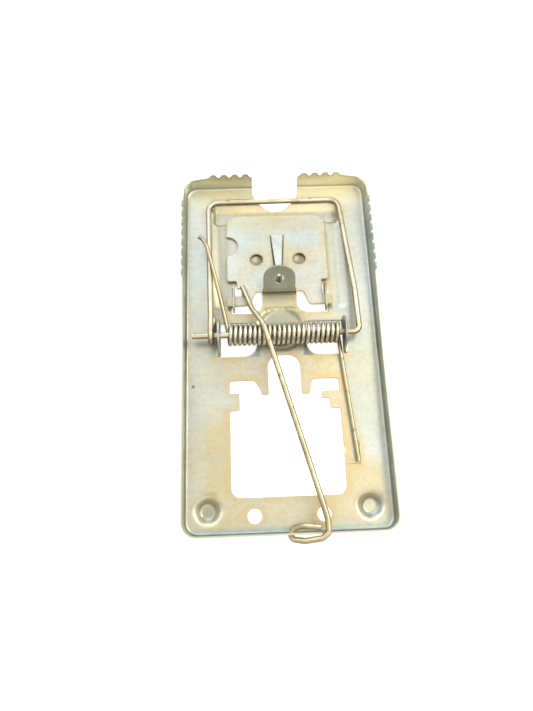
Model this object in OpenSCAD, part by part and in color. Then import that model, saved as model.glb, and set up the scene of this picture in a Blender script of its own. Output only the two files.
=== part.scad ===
/* [Tray] */
// outside width across the two side walls, in mm like every size here
tray_w = 54; // [44:0.5:66]
// outside length from the near wall to the far wall
tray_l = 101; // [85:0.5:120]
// thickness of the sheet that tray and treadle are pressed from
sheet_t = 0.5; // [0.3:0.05:0.8]
// outside radius of the four upright corners
corner_r = 4; // [2.5:0.25:7]
// inside radius of the fold between floor and walls
fold_r = 0.8; // [0.4:0.1:1.6]
// how far the pressed feet stand below the floor
foot_h = 1.4; // [1:0.1:2]
// height of the plain wall above the floor
wall_h = 4.5; // [4:0.1:6]
// inside radius of the tight folds at ears and pivot lugs
tight_r = 0.5; // [0.3:0.1:0.8]

/* [Teeth] */
// height of the rounded tips of the teeth above the wall
tooth_h = 1.6; // [1.2:0.1:2.2]
// radius of the rounded tips
tooth_r = 0.9; // [0.6:0.05:1]
// height of the bottoms of the round bites between the teeth above the wall
bite_rise = 0.15; // [0.05:0.05:0.3]
// spacing of the teeth on the side walls
side_pitch = 3.08; // [3.02:0.01:3.5]
// number of teeth on each side wall
side_teeth = 8; // [2:1:9]
// distance from the far wall to the start of the side teeth
side_teeth_far = 31.7; // [29:0.1:36]
// spacing of the teeth on the far wall
far_pitch = 3.15; // [3.02:0.01:3.5]
// number of teeth on the far wall on each side of the gap
far_teeth = 4; // [1:1:4]

/* [Floor] */
// half the width of the gap in the far wall
gap_half = 6.75; // [4:0.25:9]
// how far the gap with its round end reaches in from the far wall
gap_depth = 9; // [7:0.1:12]
// half the length of the cross groove at the far end
groove_x = 19.3; // [14:0.1:22]
// distance from the far wall to the cross groove
groove_far = 6.2; // [5:0.1:7]
// width of the cross groove
groove_w = 7.6; // [7:0.1:9]
// width of the slope at the groove's near edge
groove_near_in = 1.4; // [1:0.1:2]
// width of the slope at the groove's far edge
groove_far_in = 2.8; // [1:0.1:3.2]
// width of the slope at the groove's ends
groove_end_in = 0.8; // [0.6:0.1:2]
// depth of the shallow pan that the treadle lies in
pan_h = 0.7; // [0.4:0.05:1]
// half the width of the pan at floor level
pan_x = 19.6; // [17:0.1:21]
// width of the pan's soft side slopes
pan_side = 2.8; // [1:0.1:4]
// near edge of the pan
pan_y = 10; // [9:0.1:12]
// width of the pan's near slope
pan_near = 1.3; // [0.8:0.1:2]
// radius of the round dish under the spring
dish_r = 6.7; // [4:0.1:6.8]
// where the dish lies along the tray
dish_y = 4.6; // [3:0.1:5]
// width of the slope round the dish
dish_in = 1.5; // [0.6:0.1:2]
// outer radius of the two round feet at the near corners
foot_r = 3.4; // [2.5:0.1:4.5]
// width of the slope round those feet
foot_in = 1.6; // [1:0.1:2]
// how far the round feet lie from the middle line
foot_x = 20.7; // [17:0.1:21.5]
// distance from the near wall to the middle of the round feet
foot_near = 6.4; // [5.5:0.1:9]
// spacing of the two nail holes
nail_gap = 17.7; // [12:0.1:30]
// radius of the nail holes
nail_r = 1.9; // [1:0.1:2.5]
// distance from the near wall to the middle of the nail holes
nail_near = 4.8; // [4:0.1:6]

/* [Windows] */
// left edge of the large window
window_x0 = -14.6; // [-17:0.1:-12]
// right edge of the large window
window_x1 = 15; // [12:0.1:17]
// distance from the near wall to the large window
window_near = 9.4; // [8.5:0.1:14]
// line where the large window narrows between its two tabs
window_y1 = -18.6; // [-21:0.1:-17]
// far edge of the large window
window_y2 = -10.3; // [-12:0.1:-8]
// radius of the window's near corners
window_r = 2.4; // [1:0.1:4]
// width of the tab at the window's left edge
left_tab_w = 2.6; // [1:0.1:4]
// length of the two tabs along the window's edges
tab_l = 4.8; // [3:0.1:6]
// width of the tab at the window's right edge
right_tab_w = 4.8; // [3:0.1:6]
// width of that tab below its step
right_step_w = 2.8; // [1:0.1:4]
// length of the right tab above its step
right_step_l = 2; // [1:0.1:3]
// width of the left prong beside the arch
left_prong_w = 4.1; // [2:0.1:5]
// width of the right prong beside the arch
right_prong_w = 3.4; // [2:0.1:5]
// length of the prongs
prong_l = 4.2; // [2:0.1:5]
// left edge of the arch beyond the large window
arch_x0 = -4.1; // [-5:0.1:-3]
// right edge of the arch
arch_x1 = 4.8; // [3:0.1:5]
// far edge of the arch
arch_y = -3.3; // [-4:0.1:-3]
// radius of the arch's corners
arch_r = 3.3; // [1:0.1:4]
// near edge of the two windows under the spring's ends
ear_window_y0 = -3.5; // [-4:0.1:-3]
// far edge of those windows
ear_window_y1 = 6.3; // [6.2:0.05:7]
// inner edge of those windows
ear_window_x = 6.9; // [6.6:0.1:8]
// near edge of the two windows beside the pivot lugs
lug_window_y0 = 9.1; // [9:0.1:9.8]
// far edge of those windows
lug_window_y1 = 18.2; // [17.6:0.1:20]
// inner edge of those windows
lug_window_x = 4.9; // [4:0.1:7]
// radius of the inner near corner of the small windows
small_r = 3.4; // [1:0.1:4]
// near end of the slit flap beside the large window
flap_y0 = -33.5; // [-35:0.1:-31]
// far end of the slit flap
flap_y1 = -27.4; // [-29:0.1:-25]
// width of the slit flap
flap_w = 3.9; // [2:0.1:4.2]
// width of the slit round the flap
slit_w = 0.4; // [0.3:0.05:0.8]
// how many degrees the flap dips
flap_dip = 6; // [2:0.5:8]

/* [Ears and lugs] */
// distance from the middle line to the inner face of an ear
ear_x = 16.8; // [15:0.1:17]
// radius of the round top of an ear
ear_r = 4.5; // [3.5:0.1:4.7]
// where the striker's axle lies along the tray
axle_y = 1.7; // [1:0.1:2.2]
// height of the axle above the table
axle_z = 5.2; // [5:0.1:6]
// radial play of the axle in its ears
axle_play = 0.06; // [0.03:0.01:0.1]
// distance from the middle line to the inner face of a pivot lug
lug_x = 12.7; // [12.5:0.1:13]
// near end of a pivot lug
lug_y0 = 9.4; // [9.2:0.1:10]
// far end of a pivot lug
lug_y1 = 17.4; // [16:0.1:18]
// height of a pivot lug above the table
lug_z = 4.8; // [4:0.1:5.5]
// play of the treadle's pivot tabs on each side along the tray
tab_play = 0.15; // [0.1:0.01:0.3]
// height of the pivot slots
tab_slot_h = 1; // [0.9:0.05:1.2]

/* [Striker] */
// diameter of the striker wire
striker_d = 1.6; // [1.2:0.1:2]
// left end of the axle
axle_end_x = -24.3; // [-26:0.1:-21]
// distance of the right leg from the middle line at the axle
leg_x = 21.2; // [20:0.1:23]
// the same where the right leg is bent inwards
leg_knee_x = 21; // [19:0.1:22]
// how far along the right leg that bend is
leg_knee = 13.3; // [8:0.1:25]
// right end of the striker bar
bar_x1 = 18.6; // [17:0.1:20]
// left end of the striker bar
bar_x0 = -19.9; // [-21:0.1:-18]
// distance from the far wall to the middle of the striker bar
bar_far = 5.8; // [5.6:0.1:8]
// bend radius where the axle turns into the right leg
leg_r = 1.6; // [1:0.1:3]
// bend radius at the corners of the bar
bar_r = 3; // [2:0.1:5]
// bend radius of the slight bends in the wires
slight_r = 15; // [8:1:30]
// place of the closing eye of the left leg on the axle
eye_x = -19.2; // [-20.5:0.1:-18.6]
// gap between that eye and the axle inside it
eye_gap = 0.08; // [0.04:0.01:0.2]
// length of the wire's end that lies back under the left leg
tail_l = 5.8; // [3:0.1:9]
// how far that end stands off to the right
tail_out = 0.5; // [0:0.1:0.8]
// how far the closed striker slopes down, in degrees
striker_tilt = 3.2; // [2.8:0.05:3.3]

/* [Spring] */
// diameter of the spring wire
spring_d = 0.86; // [0.5:0.02:0.88]
// number of turns of the coil
coil_turns = 23; // [8:1:30]
// left end of the coil
coil_x0 = -14.4; // [-15.5:0.1:-10]
// spacing of the turns
coil_pitch = 1.305; // [1.29:0.005:1.6]
// mean radius of the turns
coil_r = 2.49; // [2:0.01:2.8]
// point count of one turn
coil_steps = 8; // [8:1:12]
// where the left arm crosses over the striker's left leg
cross_y = 25.3; // [24:0.1:27]
// height of the arm's middle over the leg's middle there
cross_rise = 2.2; // [2.1:0.05:3]
// outward bow of the left arm
arm_bow = 0.3; // [0:0.05:0.5]
// where the left arm is hooked outwards, across the tray
hook_x = -20.5; // [-21.5:0.05:-20.2]
// the same along the tray
hook_y = 29.2; // [28:0.1:34]
// length of the hook
hook_l = 2.7; // [1.5:0.1:3.5]
// end of the right arm across the tray
arm_end_x = 18.5; // [17:0.1:19]
// end of the right arm along the tray
arm_end_y = -33; // [-36:0.1:-25]
// height of that end above the floor
arm_end_z = 0.55; // [0.5:0.05:0.8]

/* [Treadle] */
// where the treadle's pivot line lies along the tray
pivot_y = 12.7; // [12.2:0.1:13.2]
// height of the pivot line above the table
pivot_z = 2.3; // [2.2:0.05:2.6]
// slope of the treadle at rest, in degrees, far end down
treadle_tilt = 1.5; // [0.5:0.1:1.6]
// left edge of the treadle
treadle_x0 = -14.8; // [-16:0.1:-13]
// right edge of the treadle
treadle_x1 = 14.3; // [13:0.1:16]
// distance from the far wall to the treadle
treadle_far = 11; // [10.8:0.1:16]
// line where the treadle narrows beside the lugs
treadle_y0 = 19; // [18.2:0.1:22]
// radius of the treadle's far corners
treadle_r = 2; // [1:0.1:4]
// half the width of the narrow part on the left
waist_left = 12.1; // [11:0.1:12.2]
// the same on the right
waist_right = 11.9; // [11:0.1:12.2]
// how far the catch for the lock wire is cut in, from the middle line
catch_x = 10.7; // [9:0.1:11.5]
// far edge of the catch
catch_y = 16.6; // [15.8:0.1:18]
// near edge of the treadle between the pivots
treadle_near = 15.4; // [15:0.1:15.8]
// inner end of the pivot necks at their near edge
neck_x = 8.4; // [7.5:0.1:10]
// inner end of the pivot necks at their far edge
neck_in_x = 6.9; // [5:0.1:7.4]
// size of the small cut corners beside the tongue
cut_corner = 0.4; // [0.2:0.1:0.6]
// width of the pivot tabs
tab_w = 3; // [2:0.1:3.2]
// how far the pivot tabs reach from the middle line
tab_x = 14.9; // [14:0.1:15.5]
// radius of the half-round notch in the left edge
notch_r = 3; // [1:0.1:4]
// where that notch lies along the tray
notch_y = 30; // [24:0.1:34]
// radius of the two round holes in the treadle
hole_r = 1.8; // [1:0.1:2.5]
// distance of those holes from the middle line
hole_x = 6.2; // [5:0.1:8]
// where those holes lie along the tray
hole_y = 25.4; // [22:0.1:28]

/* [Bait holder] */
// width of the upright bait tongue
tongue_w = 9; // [6:0.1:10]
// straight length of the tongue above its fold
tongue_l = 7.17; // [5:0.1:9]
// radius of the tongue's top corners
tongue_r = 2.8; // [1:0.1:4]
// where the tongue folds up along the tray
tongue_y = 16.2; // [15.8:0.1:17]
// angle between the tongue and the treadle, in degrees
tongue_lean = 52; // [40:1:80]
// inside radius of the tongue's fold
tongue_fold = 0.4; // [0.3:0.05:0.8]
// radius of the hole that the spike points into
bait_hole_r = 1.4; // [0.8:0.1:2]
// height of that hole's middle along the tongue
bait_hole_l = 3.5; // [2.5:0.1:4.5]
// root of the bait spike along the tray
spike_y = 31.8; // [29:0.1:34]
// length of the bait spike
spike_l = 14.2; // [10:0.1:14.6]
// width of the spike at its root
spike_w = 3.6; // [2:0.1:5]
// width of the spike at two thirds of its length
spike_mid_w = 1.9; // [1:0.1:3]
// width of the spike where its point starts
spike_tip_w = 1.2; // [0.6:0.1:1.8]
// length of the spike's point
spike_tip_l = 0.4; // [0.3:0.1:1]
// rise of the spike, in degrees
spike_rise = 14; // [5:0.5:20]
// gap that the spike leaves in the treadle all round
spike_gap = 0.35; // [0.2:0.05:0.6]

/* [Lock wire] */
// diameter of the lock wire
lock_d = 1.5; // [1:0.1:1.6]
// distance of the eye's wire from its turning line
lock_eye_r = 1.8; // [1.7:0.02:1.9]
// bend radius inside the eye
lock_bend = 0.95; // [0.9:0.05:1.1]
// place across where the lock wire comes over the rim
lock_eye_x = 9; // [6:0.1:9.2]
// the lock wire near the rim: place across
neck_wire_x = 8.9; // [6:0.1:9.2]
// the same along the tray, from the near wall
neck_wire_y = 3.25; // [2.8:0.05:4]
// the same in height above the rim
neck_wire_z = 1.06; // [1:0.01:1.3]
// start of the long straight run: place across
run_x = 7.6; // [5:0.1:8]
// the same along the tray, from the near wall
run_y = 8.25; // [7:0.05:10]
// the same in height above the rim
run_z = 1.23; // [1.1:0.01:1.4]
// where the lock wire bends down beyond the spring: place across
knee_x = -5; // [-6:0.1:-3]
// the same beyond the axle
knee_y = 1.7; // [1:0.1:3]
// the same in height above the axle
knee_z = 3.95; // [3.9:0.05:4.5]
// the next bend beyond: place across
dip_x = -7.9; // [-9:0.1:-6]
// the same beyond the axle
dip_y = 6.9; // [5:0.1:8]
// the same in height above the axle
dip_z = 1.4; // [1:0.05:2]
// end of the lock wire: place across
wire_end_x = -10.4; // [-11:0.1:-9]
// the same along the tray
wire_end_y = 16.4; // [15:0.1:17]
// the same in height above the treadle's pivot line
wire_end_z = 1.6; // [1.4:0.05:2]
// left end of the slot that the eye passes through
slot_x0 = -1.1; // [-3:0.1:-1]
// right end of that slot
slot_x1 = 10.6; // [10:0.1:13]
// height of the rim strip above the slot
strip_h = 1.5; // [1.2:0.05:1.6]
// room below the eye in the slot
slot_play = 0.1; // [0.05:0.01:0.3]

/* [Shown piece] */
// the piece that is drawn

/* [Hidden] */
$fn = 48;
floor_z = foot_h + sheet_t;
rim_z = floor_z + wall_h;
fold_out = fold_r + sheet_t;
tight_out = tight_r + sheet_t;
half_w = tray_w / 2;
half_l = tray_l / 2;
side_teeth_y = half_l - side_teeth_far;
gap_end_y = half_l - gap_depth;
groove_y1 = half_l - groove_far;
groove_y0 = groove_y1 - groove_w;
foot_y = foot_near - half_l;
nail_y = nail_near - half_l;
window_y0 = window_near - half_l;
leg_l = half_l - bar_far - axle_y;
treadle_y1 = half_l - treadle_far;
pan_z = floor_z - pan_h;
tip_z = rim_z + tooth_h;
far_teeth_x = gap_half + 0.32;
groove_mid = (groove_y0 + groove_y1) / 2;
ear_edge = ear_x + sheet_t + tight_r;
lug_edge = lug_x + sheet_t + tight_r;
axle_hole_r = striker_d / 2 + axle_play;
eye_r = striker_d + eye_gap;
eye_lean = asin(eye_r / leg_l);
eye_step = 0.4;
lock_y = -half_l + sheet_t / 2;
lock_z = rim_z - strip_h / 2;
lock_reach = lock_eye_r + lock_d / 2;
slot_z0 = lock_z - lock_reach - slot_play;
slot_z1 = rim_z - strip_h;
// everything is set over so that the whole trap is centred on the origin
tray_shift = (lock_reach - sheet_t / 2) / 2;
more = 0.3;
collar_l = 0.025;
collar_rise = 0.01;
collar_gap = 0.01;
bite_over = 0.02;

function unit(v) = v / norm(v);
function turn_of(u, v) = acos(min(1, max(-1, u * v)));
function along(p, i) = unit(p[i + 1] - p[i]);
function trim(p, r, i) = i == 0 || i == len(p) - 1 ? 0 :
    r[i] * tan(turn_of(along(p, i - 1), along(p, i)) / 2);

// a matrix that turns X, Y and Z onto three given directions and moves to a place
function placed(x, y, z, o) = [
    [x[0], y[0], z[0], o[0]],
    [x[1], y[1], z[1], o[1]],
    [x[2], y[2], z[2], o[2]],
    [0, 0, 0, 1]];

function across(u) = abs(u[2]) < 0.9 ? unit(cross([0, 0, 1], u)) : unit(cross([1, 0, 0], u));

module rod(a, b, d) {
    u = unit(b - a);
    x = across(u);
    multmatrix(placed(x, cross(u, x), u, a)) cylinder(h = norm(b - a), d = d);
}

module elbow(p, u, v, r, d) {
    a = turn_of(u, v);
    n = unit(v - u * (u * v));
    o = p - u * r * tan(a / 2) + n * r;
    multmatrix(placed(-n, u, cross(-n, u), o))
        rotate_extrude(angle = a) translate([r, 0]) circle(d = d);
}

// a thin collar that joins two lengths of wire at p, which runs along u there
module collar(p, u, d) rod(p - u * collar_l, p + u * collar_l, d + 2 * collar_rise);

// a bent wire of diameter d through the points p with bend radii r
module wire(p, r, d) {
    for (i = [0 : len(p) - 2]) {
        u = along(p, i);
        a = p[i] + u * trim(p, r, i);
        b = p[i + 1] - u * trim(p, r, i + 1);
        rod(i == 0 ? a : a + u * collar_gap, i == len(p) - 2 ? b : b - u * collar_gap, d);
        if (i > 0) collar(a, u, d);
        if (i < len(p) - 2) collar(b, u, d);
    }
    for (i = [1 : len(p) - 2]) elbow(p[i], along(p, i - 1), along(p, i), r[i], d);
}

// a flat rounded rectangle
module panel(x0, x1, y0, y1, r) {
    translate([x0 + r, y0]) square([x1 - x0 - 2 * r, y1 - y0]);
    translate([x0, y0 + r]) square([x1 - x0, y1 - y0 - 2 * r]);
    for (x = [x0 + r, x1 - r], y = [y0 + r, y1 - r]) translate([x, y]) circle(r);
}

// a shape drawn along and up, given a thickness across the tray
module upright_x(x, t) translate([x, 0, 0]) rotate([90, 0, 90]) linear_extrude(t) children();

// a shape drawn across and up, given a length along the tray
module upright_y(y0, y1) translate([0, y1, 0]) rotate([90, 0, 0]) linear_extrude(y1 - y0) children();

module cup(x, y, r, inset, depth, lift)
    translate([x, y, -depth])
        cylinder(h = depth + lift, r1 = r - inset, r2 = r + lift * inset / depth);

// the cross groove: a long slope at its far edge, short ones at the other edges
module groove(lift) {
    near = lift * groove_near_in / foot_h;
    far = lift * groove_far_in / foot_h;
    end = lift * groove_end_in / foot_h;
    intersection() {
        upright_x(-half_w, tray_w)
            polygon([[groove_y0 + groove_near_in, -foot_h], [groove_y1 - groove_far_in, -foot_h],
                [groove_y1 + far, lift], [groove_y0 - near, lift]]);
        upright_y(pan_y, half_l)
            polygon([[groove_end_in - groove_x, -foot_h], [groove_x - groove_end_in, -foot_h],
                [groove_x + end, lift], [-groove_x - end, lift]]);
    }
}

// the treadle's pan: soft slopes at the sides, a short one at the near end
module pan(lift) {
    side = lift * pan_side / pan_h;
    near = lift * pan_near / pan_h;
    intersection() {
        upright_y(pan_y - 1, groove_mid)
            polygon([[pan_side - pan_x, -pan_h], [pan_x - pan_side, -pan_h],
                [pan_x + side, lift], [-pan_x - side, lift]]);
        upright_x(-half_w, tray_w)
            polygon([[pan_y + pan_near, -pan_h], [groove_mid, -pan_h],
                [groove_mid, lift], [pan_y - near, lift]]);
    }
}

module pressings(lift) {
    groove(lift);
    pan(lift);
    cup(0, dish_y, dish_r, dish_in, foot_h, lift);
    for (s = [-1, 1]) cup(s * foot_x, foot_y, foot_r, foot_in, foot_h, lift);
}

module quarter_ring(r, t)
    intersection() {
        difference() {
            circle(r + t);
            circle(r);
        }
        translate([0, -r - t - 1]) square([r + t + 1, r + t + 1]);
    }

module floor_fold() {
    for (s = [0, 1]) mirror([s, 0, 0])
        translate([half_w - fold_out, 0, foot_h + fold_out]) upright_y(corner_r - half_l, half_l - corner_r)
            quarter_ring(fold_r, sheet_t);
    for (s = [0, 1]) mirror([0, s, 0])
        translate([0, half_l - fold_out, foot_h + fold_out])
            upright_x(corner_r - half_w, tray_w - 2 * corner_r) quarter_ring(fold_r, sheet_t);
    for (s = [0, 1], q = [0, 1]) mirror([s, 0, 0]) mirror([0, q, 0])
        translate([half_w - corner_r, half_l - corner_r, foot_h + fold_out])
            rotate_extrude(angle = 90) translate([corner_r - fold_out, 0]) quarter_ring(fold_r, sheet_t);
}

module walls() {
    translate([0, 0, foot_h + fold_out]) linear_extrude(rim_z - foot_h - fold_out) difference() {
        panel(-half_w, half_w, -half_l, half_l, corner_r);
        panel(sheet_t - half_w, half_w - sheet_t, sheet_t - half_l, half_l - sheet_t, corner_r - sheet_t);
    }
    for (s = [0, 1]) mirror([s, 0, 0]) {
        translate([0, side_teeth_y, rim_z]) upright_x(half_w - sheet_t, sheet_t)
            tooth_row(side_teeth, side_pitch);
        translate([far_teeth_x, 0, rim_z]) upright_y(half_l - sheet_t, half_l)
            tooth_row(far_teeth, far_pitch);
    }
}

// a row of n rounded teeth with round bites between them, drawn along and up from the rim
module tooth_row(n, pitch) {
    rise = tooth_h - bite_rise;
    bite = (pitch * pitch / 4 + rise * rise) / (2 * rise) - tooth_r;
    top = tooth_h - tooth_r;
    low = bite_rise + bite;
    difference() {
        union() {
            polygon(concat([[0, -sheet_t], [n * pitch, -sheet_t], [n * pitch, low]],
                [for (k = [n - 1 : -1 : 0], h = [0, 1])
                    h == 0 ? [(k + 0.5) * pitch, top] : [k * pitch, low]]));
            for (k = [0 : n - 1]) translate([(k + 0.5) * pitch, top]) circle(tooth_r);
        }
        for (k = [0 : n]) translate([k * pitch, low]) circle(bite + bite_over);
    }
}

// a small window beside the middle line with one round inner corner
module small_window(x0, x1, y0, y1, r) {
    translate([x0 + r, y0]) square([x1 - x0 - r, y1 - y0]);
    translate([x0, y0 + r]) square([x1 - x0, y1 - y0 - r]);
    translate([x0 + r, y0 + r]) circle(r);
}

// a tongue of sheet beside the arch, of width w at its root and a share of that at its tip
module prong(w, tip)
    polygon([[0, 1], [0, -prong_l], [w * tip, -prong_l], [w * (tip + 0.08), -0.65 * prong_l],
        [w * 0.88, -0.05 * prong_l], [w, 0], [w, 1]]);

// the large window with its arch, less the tabs and prongs that stand into it
module large_window() {
    difference() {
        union() {
            panel(window_x0, window_x1, window_y0, window_y1 + 6, window_r);
            translate([window_x0, window_y1]) square([window_x1 - window_x0, window_y2 - window_y1]);
            panel(arch_x0, arch_x1, window_y2 - 8, arch_y, arch_r);
        }
        translate([window_x0 - 1, window_y1]) square([left_tab_w + 1, tab_l]);
        translate([window_x1 - right_step_w, window_y1]) square([right_step_w + 1, tab_l]);
        translate([window_x1 - right_tab_w, window_y1 + tab_l - right_step_l])
            square([right_tab_w + 1, right_step_l]);
        translate([arch_x0, window_y2]) mirror([1, 0]) prong(left_prong_w, 0.46);
        translate([arch_x1, window_y2]) prong(right_prong_w, 0.65);
    }
}

module floor_cuts() {
    large_window();
    for (s = [0, 1]) mirror([s, 0]) {
        small_window(ear_window_x, ear_edge, ear_window_y0, ear_window_y1, small_r);
        small_window(lug_window_x, lug_edge, lug_window_y0, lug_window_y1, small_r);
        translate([nail_gap / 2, nail_y]) circle(nail_r);
    }
    translate([-gap_half, gap_end_y + gap_half]) square([2 * gap_half, tray_l]);
    translate([0, gap_end_y + gap_half]) circle(gap_half);
    translate([window_x1 - 1, flap_y0 - slit_w]) square([flap_w + slit_w + 1, flap_y1 - flap_y0 + slit_w]);
}

module ear() {
    upright_x(ear_x, sheet_t) difference() {
        union() {
            translate([axle_y - ear_r, floor_z + tight_r]) square([2 * ear_r, axle_z - floor_z - tight_r]);
            intersection() {
                translate([axle_y, axle_z]) circle(ear_r);
                translate([axle_y - ear_r, axle_z - 1]) square([2 * ear_r, ear_r + 1]);
            }
        }
        translate([axle_y, axle_z]) circle(axle_hole_r);
    }
    translate([ear_edge, 0, floor_z + tight_r]) upright_y(axle_y - ear_r, axle_y + ear_r)
        mirror([1, 0]) quarter_ring(tight_r, sheet_t);
}

module lug() {
    upright_x(lug_x, sheet_t) difference() {
        union() {
            panel(lug_y0, lug_y1, pan_z + tight_r, lug_z, 1.2);
            translate([pan_y + pan_near, pan_z + tight_r])
                square([lug_y1 - pan_y - pan_near, 2]);
        }
        translate([pivot_y - tab_w / 2 - tab_play, pivot_z - tab_slot_h / 2])
            square([tab_w + 2 * tab_play, tab_slot_h]);
    }
    translate([lug_edge, 0, pan_z + tight_r]) upright_y(pan_y + pan_near, lug_y1)
        mirror([1, 0]) quarter_ring(tight_r, sheet_t);
}

module flap()
    translate([window_x1, flap_y1, floor_z]) rotate([flap_dip, 0, 0])
        translate([0, flap_y0 - flap_y1, -sheet_t]) cube([flap_w, flap_y1 - flap_y0 + 0.1, sheet_t]);

module tray() {
    color([0.71, 0.7, 0.53]) translate([0, tray_shift, 0]) {
        difference() {
            union() {
                translate([0, 0, foot_h]) linear_extrude(sheet_t)
                    panel(fold_out - half_w, half_w - fold_out, fold_out - half_l, half_l - fold_out,
                        corner_r - fold_out);
                floor_fold();
                walls();
                translate([0, 0, foot_h]) pressings(0);
            }
            translate([0, 0, floor_z]) pressings(more);
            translate([0, 0, -1]) linear_extrude(tip_z + 2) floor_cuts();
            upright_y(-half_l - 1, -half_l + 1) panel(slot_x0, slot_x1, slot_z0, slot_z1, 0.6);
        }
        for (s = [0, 1]) mirror([s, 0, 0]) {
            ear();
            lug();
        }
        flap();
    }
}

// the points of the spring: left arm, coil, right arm
coil_x1 = coil_x0 + coil_turns * coil_pitch;
coil_low = axle_z - coil_r;
// height of the striker's left leg at a place along the tray
function left_leg_z(y) = axle_z + (leg_l + axle_y - y) * tan(eye_lean) * cos(striker_tilt)
    - (y - axle_y) * sin(striker_tilt);
cross_z = left_leg_z(cross_y) + cross_rise;
left_hook = [hook_x, hook_y, coil_low + (cross_z - coil_low) * (hook_y - axle_y) / (cross_y - axle_y)];
left_tip = left_hook + hook_l * [-0.62, 0.7, -0.35];
left_root = [coil_x0, axle_y, coil_low];
right_root = [coil_x1, axle_y, coil_low];
right_tip = [arm_end_x, arm_end_y, floor_z + arm_end_z];
coil_count = coil_turns * coil_steps;
function between(a, b, t) = a + (b - a) * t;
function bowed(t) = between(left_hook, left_root, t) + [arm_bow * sin(180 * t), 0, 0];
function coil_point(k) = [coil_x0 + k * coil_pitch / coil_steps,
    axle_y - coil_r * sin(360 * k / coil_steps),
    axle_z - coil_r * cos(360 * k / coil_steps)];
function coil_out(k) = [0, -sin(360 * k / coil_steps), -cos(360 * k / coil_steps)];
left_steps = 6;
right_steps = 6;
spring_path = concat(
    [left_tip, between(left_tip, left_hook, 0.75)],
    [for (k = [0 : left_steps]) bowed(0.03 + 0.92 * k / left_steps)],
    [for (k = [0 : coil_count]) coil_point(k)],
    [for (k = [1 : right_steps]) between(right_root, right_tip, k / right_steps)]);
arm_count = left_steps + 3;
spring_last = len(spring_path) - 1;
function spring_out(i) = i < arm_count ? [0, 0, -1] :
    i > arm_count + coil_count ? [0, 0, -1] : coil_out(i - arm_count);
function spring_way(i) = i == 0 ? unit(spring_path[1] - spring_path[0]) :
    i == spring_last ? unit(spring_path[i] - spring_path[i - 1]) :
    unit(unit(spring_path[i + 1] - spring_path[i]) + unit(spring_path[i] - spring_path[i - 1]));
function square_to(v, u) = unit(v - u * (u * v));
function spring_ring(i, p, u, n) = [for (j = [0 : 5])
    p + spring_d / 2 * (cos(60 * j) * n + sin(60 * j) * cross(u, n))];
spring_points = [for (i = [0 : spring_last])
    each spring_ring(i, spring_path[i], spring_way(i), square_to(spring_out(i), spring_way(i)))];
spring_faces = concat(
    [for (j = [1 : 4]) [0, j, j + 1]],
    [for (i = [0 : spring_last - 1], j = [0 : 5], h = [0, 1])
        let (a = 6 * i + j, b = 6 * i + (j + 1) % 6)
        h == 0 ? [a, a + 6, b] : [b, a + 6, b + 6]],
    [for (j = [1 : 4]) [6 * spring_last, 6 * spring_last + j + 1, 6 * spring_last + j]]);

// the least gap between the wire and its own next turns, measured on points in between as well
function fine_point(q) = let (i = floor(q / 4), f = q / 4 - floor(q / 4))
    i >= spring_last ? spring_path[spring_last] : between(spring_path[i], spring_path[i + 1], f);
fine_last = 4 * spring_last;
next_turn = 4 * coil_steps;
spring_gap = min([for (q = [0 : fine_last], w = [next_turn - 10 : next_turn + 10])
    if (q + w <= fine_last) norm(fine_point(q) - fine_point(q + w))]) - spring_d;
echo("least gap of the spring to itself in mm", spring_gap);

module torsion_spring()
    color([0.62, 0.53, 0.3]) translate([0, tray_shift, 0])
        polyhedron(points = spring_points, faces = spring_faces, convexity = 12);

eye_start = [eye_x, eye_r * sin(eye_lean), eye_r * cos(eye_lean)];
left_knee = [eye_x, 6, eye_start[2] - (6 - eye_start[1]) * tan(eye_lean)];
striker_path = [[axle_end_x, 0, 0], [leg_x, 0, 0], [leg_knee_x, leg_knee, 0], [bar_x1, leg_l, 0],
    [bar_x0, leg_l, 0], left_knee, eye_start];
striker_bends = [0, leg_r, slight_r, bar_r, bar_r, slight_r, 0];

module striker()
    color([0.75, 0.68, 0.45]) translate([0, axle_y + tray_shift, axle_z]) rotate([-striker_tilt, 0, 0]) {
        wire(striker_path, striker_bends, striker_d);
        translate([eye_x, 0, 0]) rotate([90, 0, 90]) rotate([0, 0, 90 - eye_lean]) {
            rotate([0, 0, eye_step]) rotate_extrude(angle = 180 + eye_lean - 2 * eye_step)
                translate([eye_r, 0]) circle(d = striker_d);
            translate([eye_r, 0, 0]) rotate([90, 0, 0])
                cylinder(h = 2 * collar_l, d = striker_d + 2 * collar_rise, center = true);
        }
        collar([eye_x, 0, -eye_r], [0, 1, 0], striker_d);
        wire([[eye_x, 0, -eye_r], [eye_x, 1, -eye_r], [eye_x + tail_out, tail_l, -eye_r]],
            [0, slight_r / 5, 0], striker_d);
    }

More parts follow.
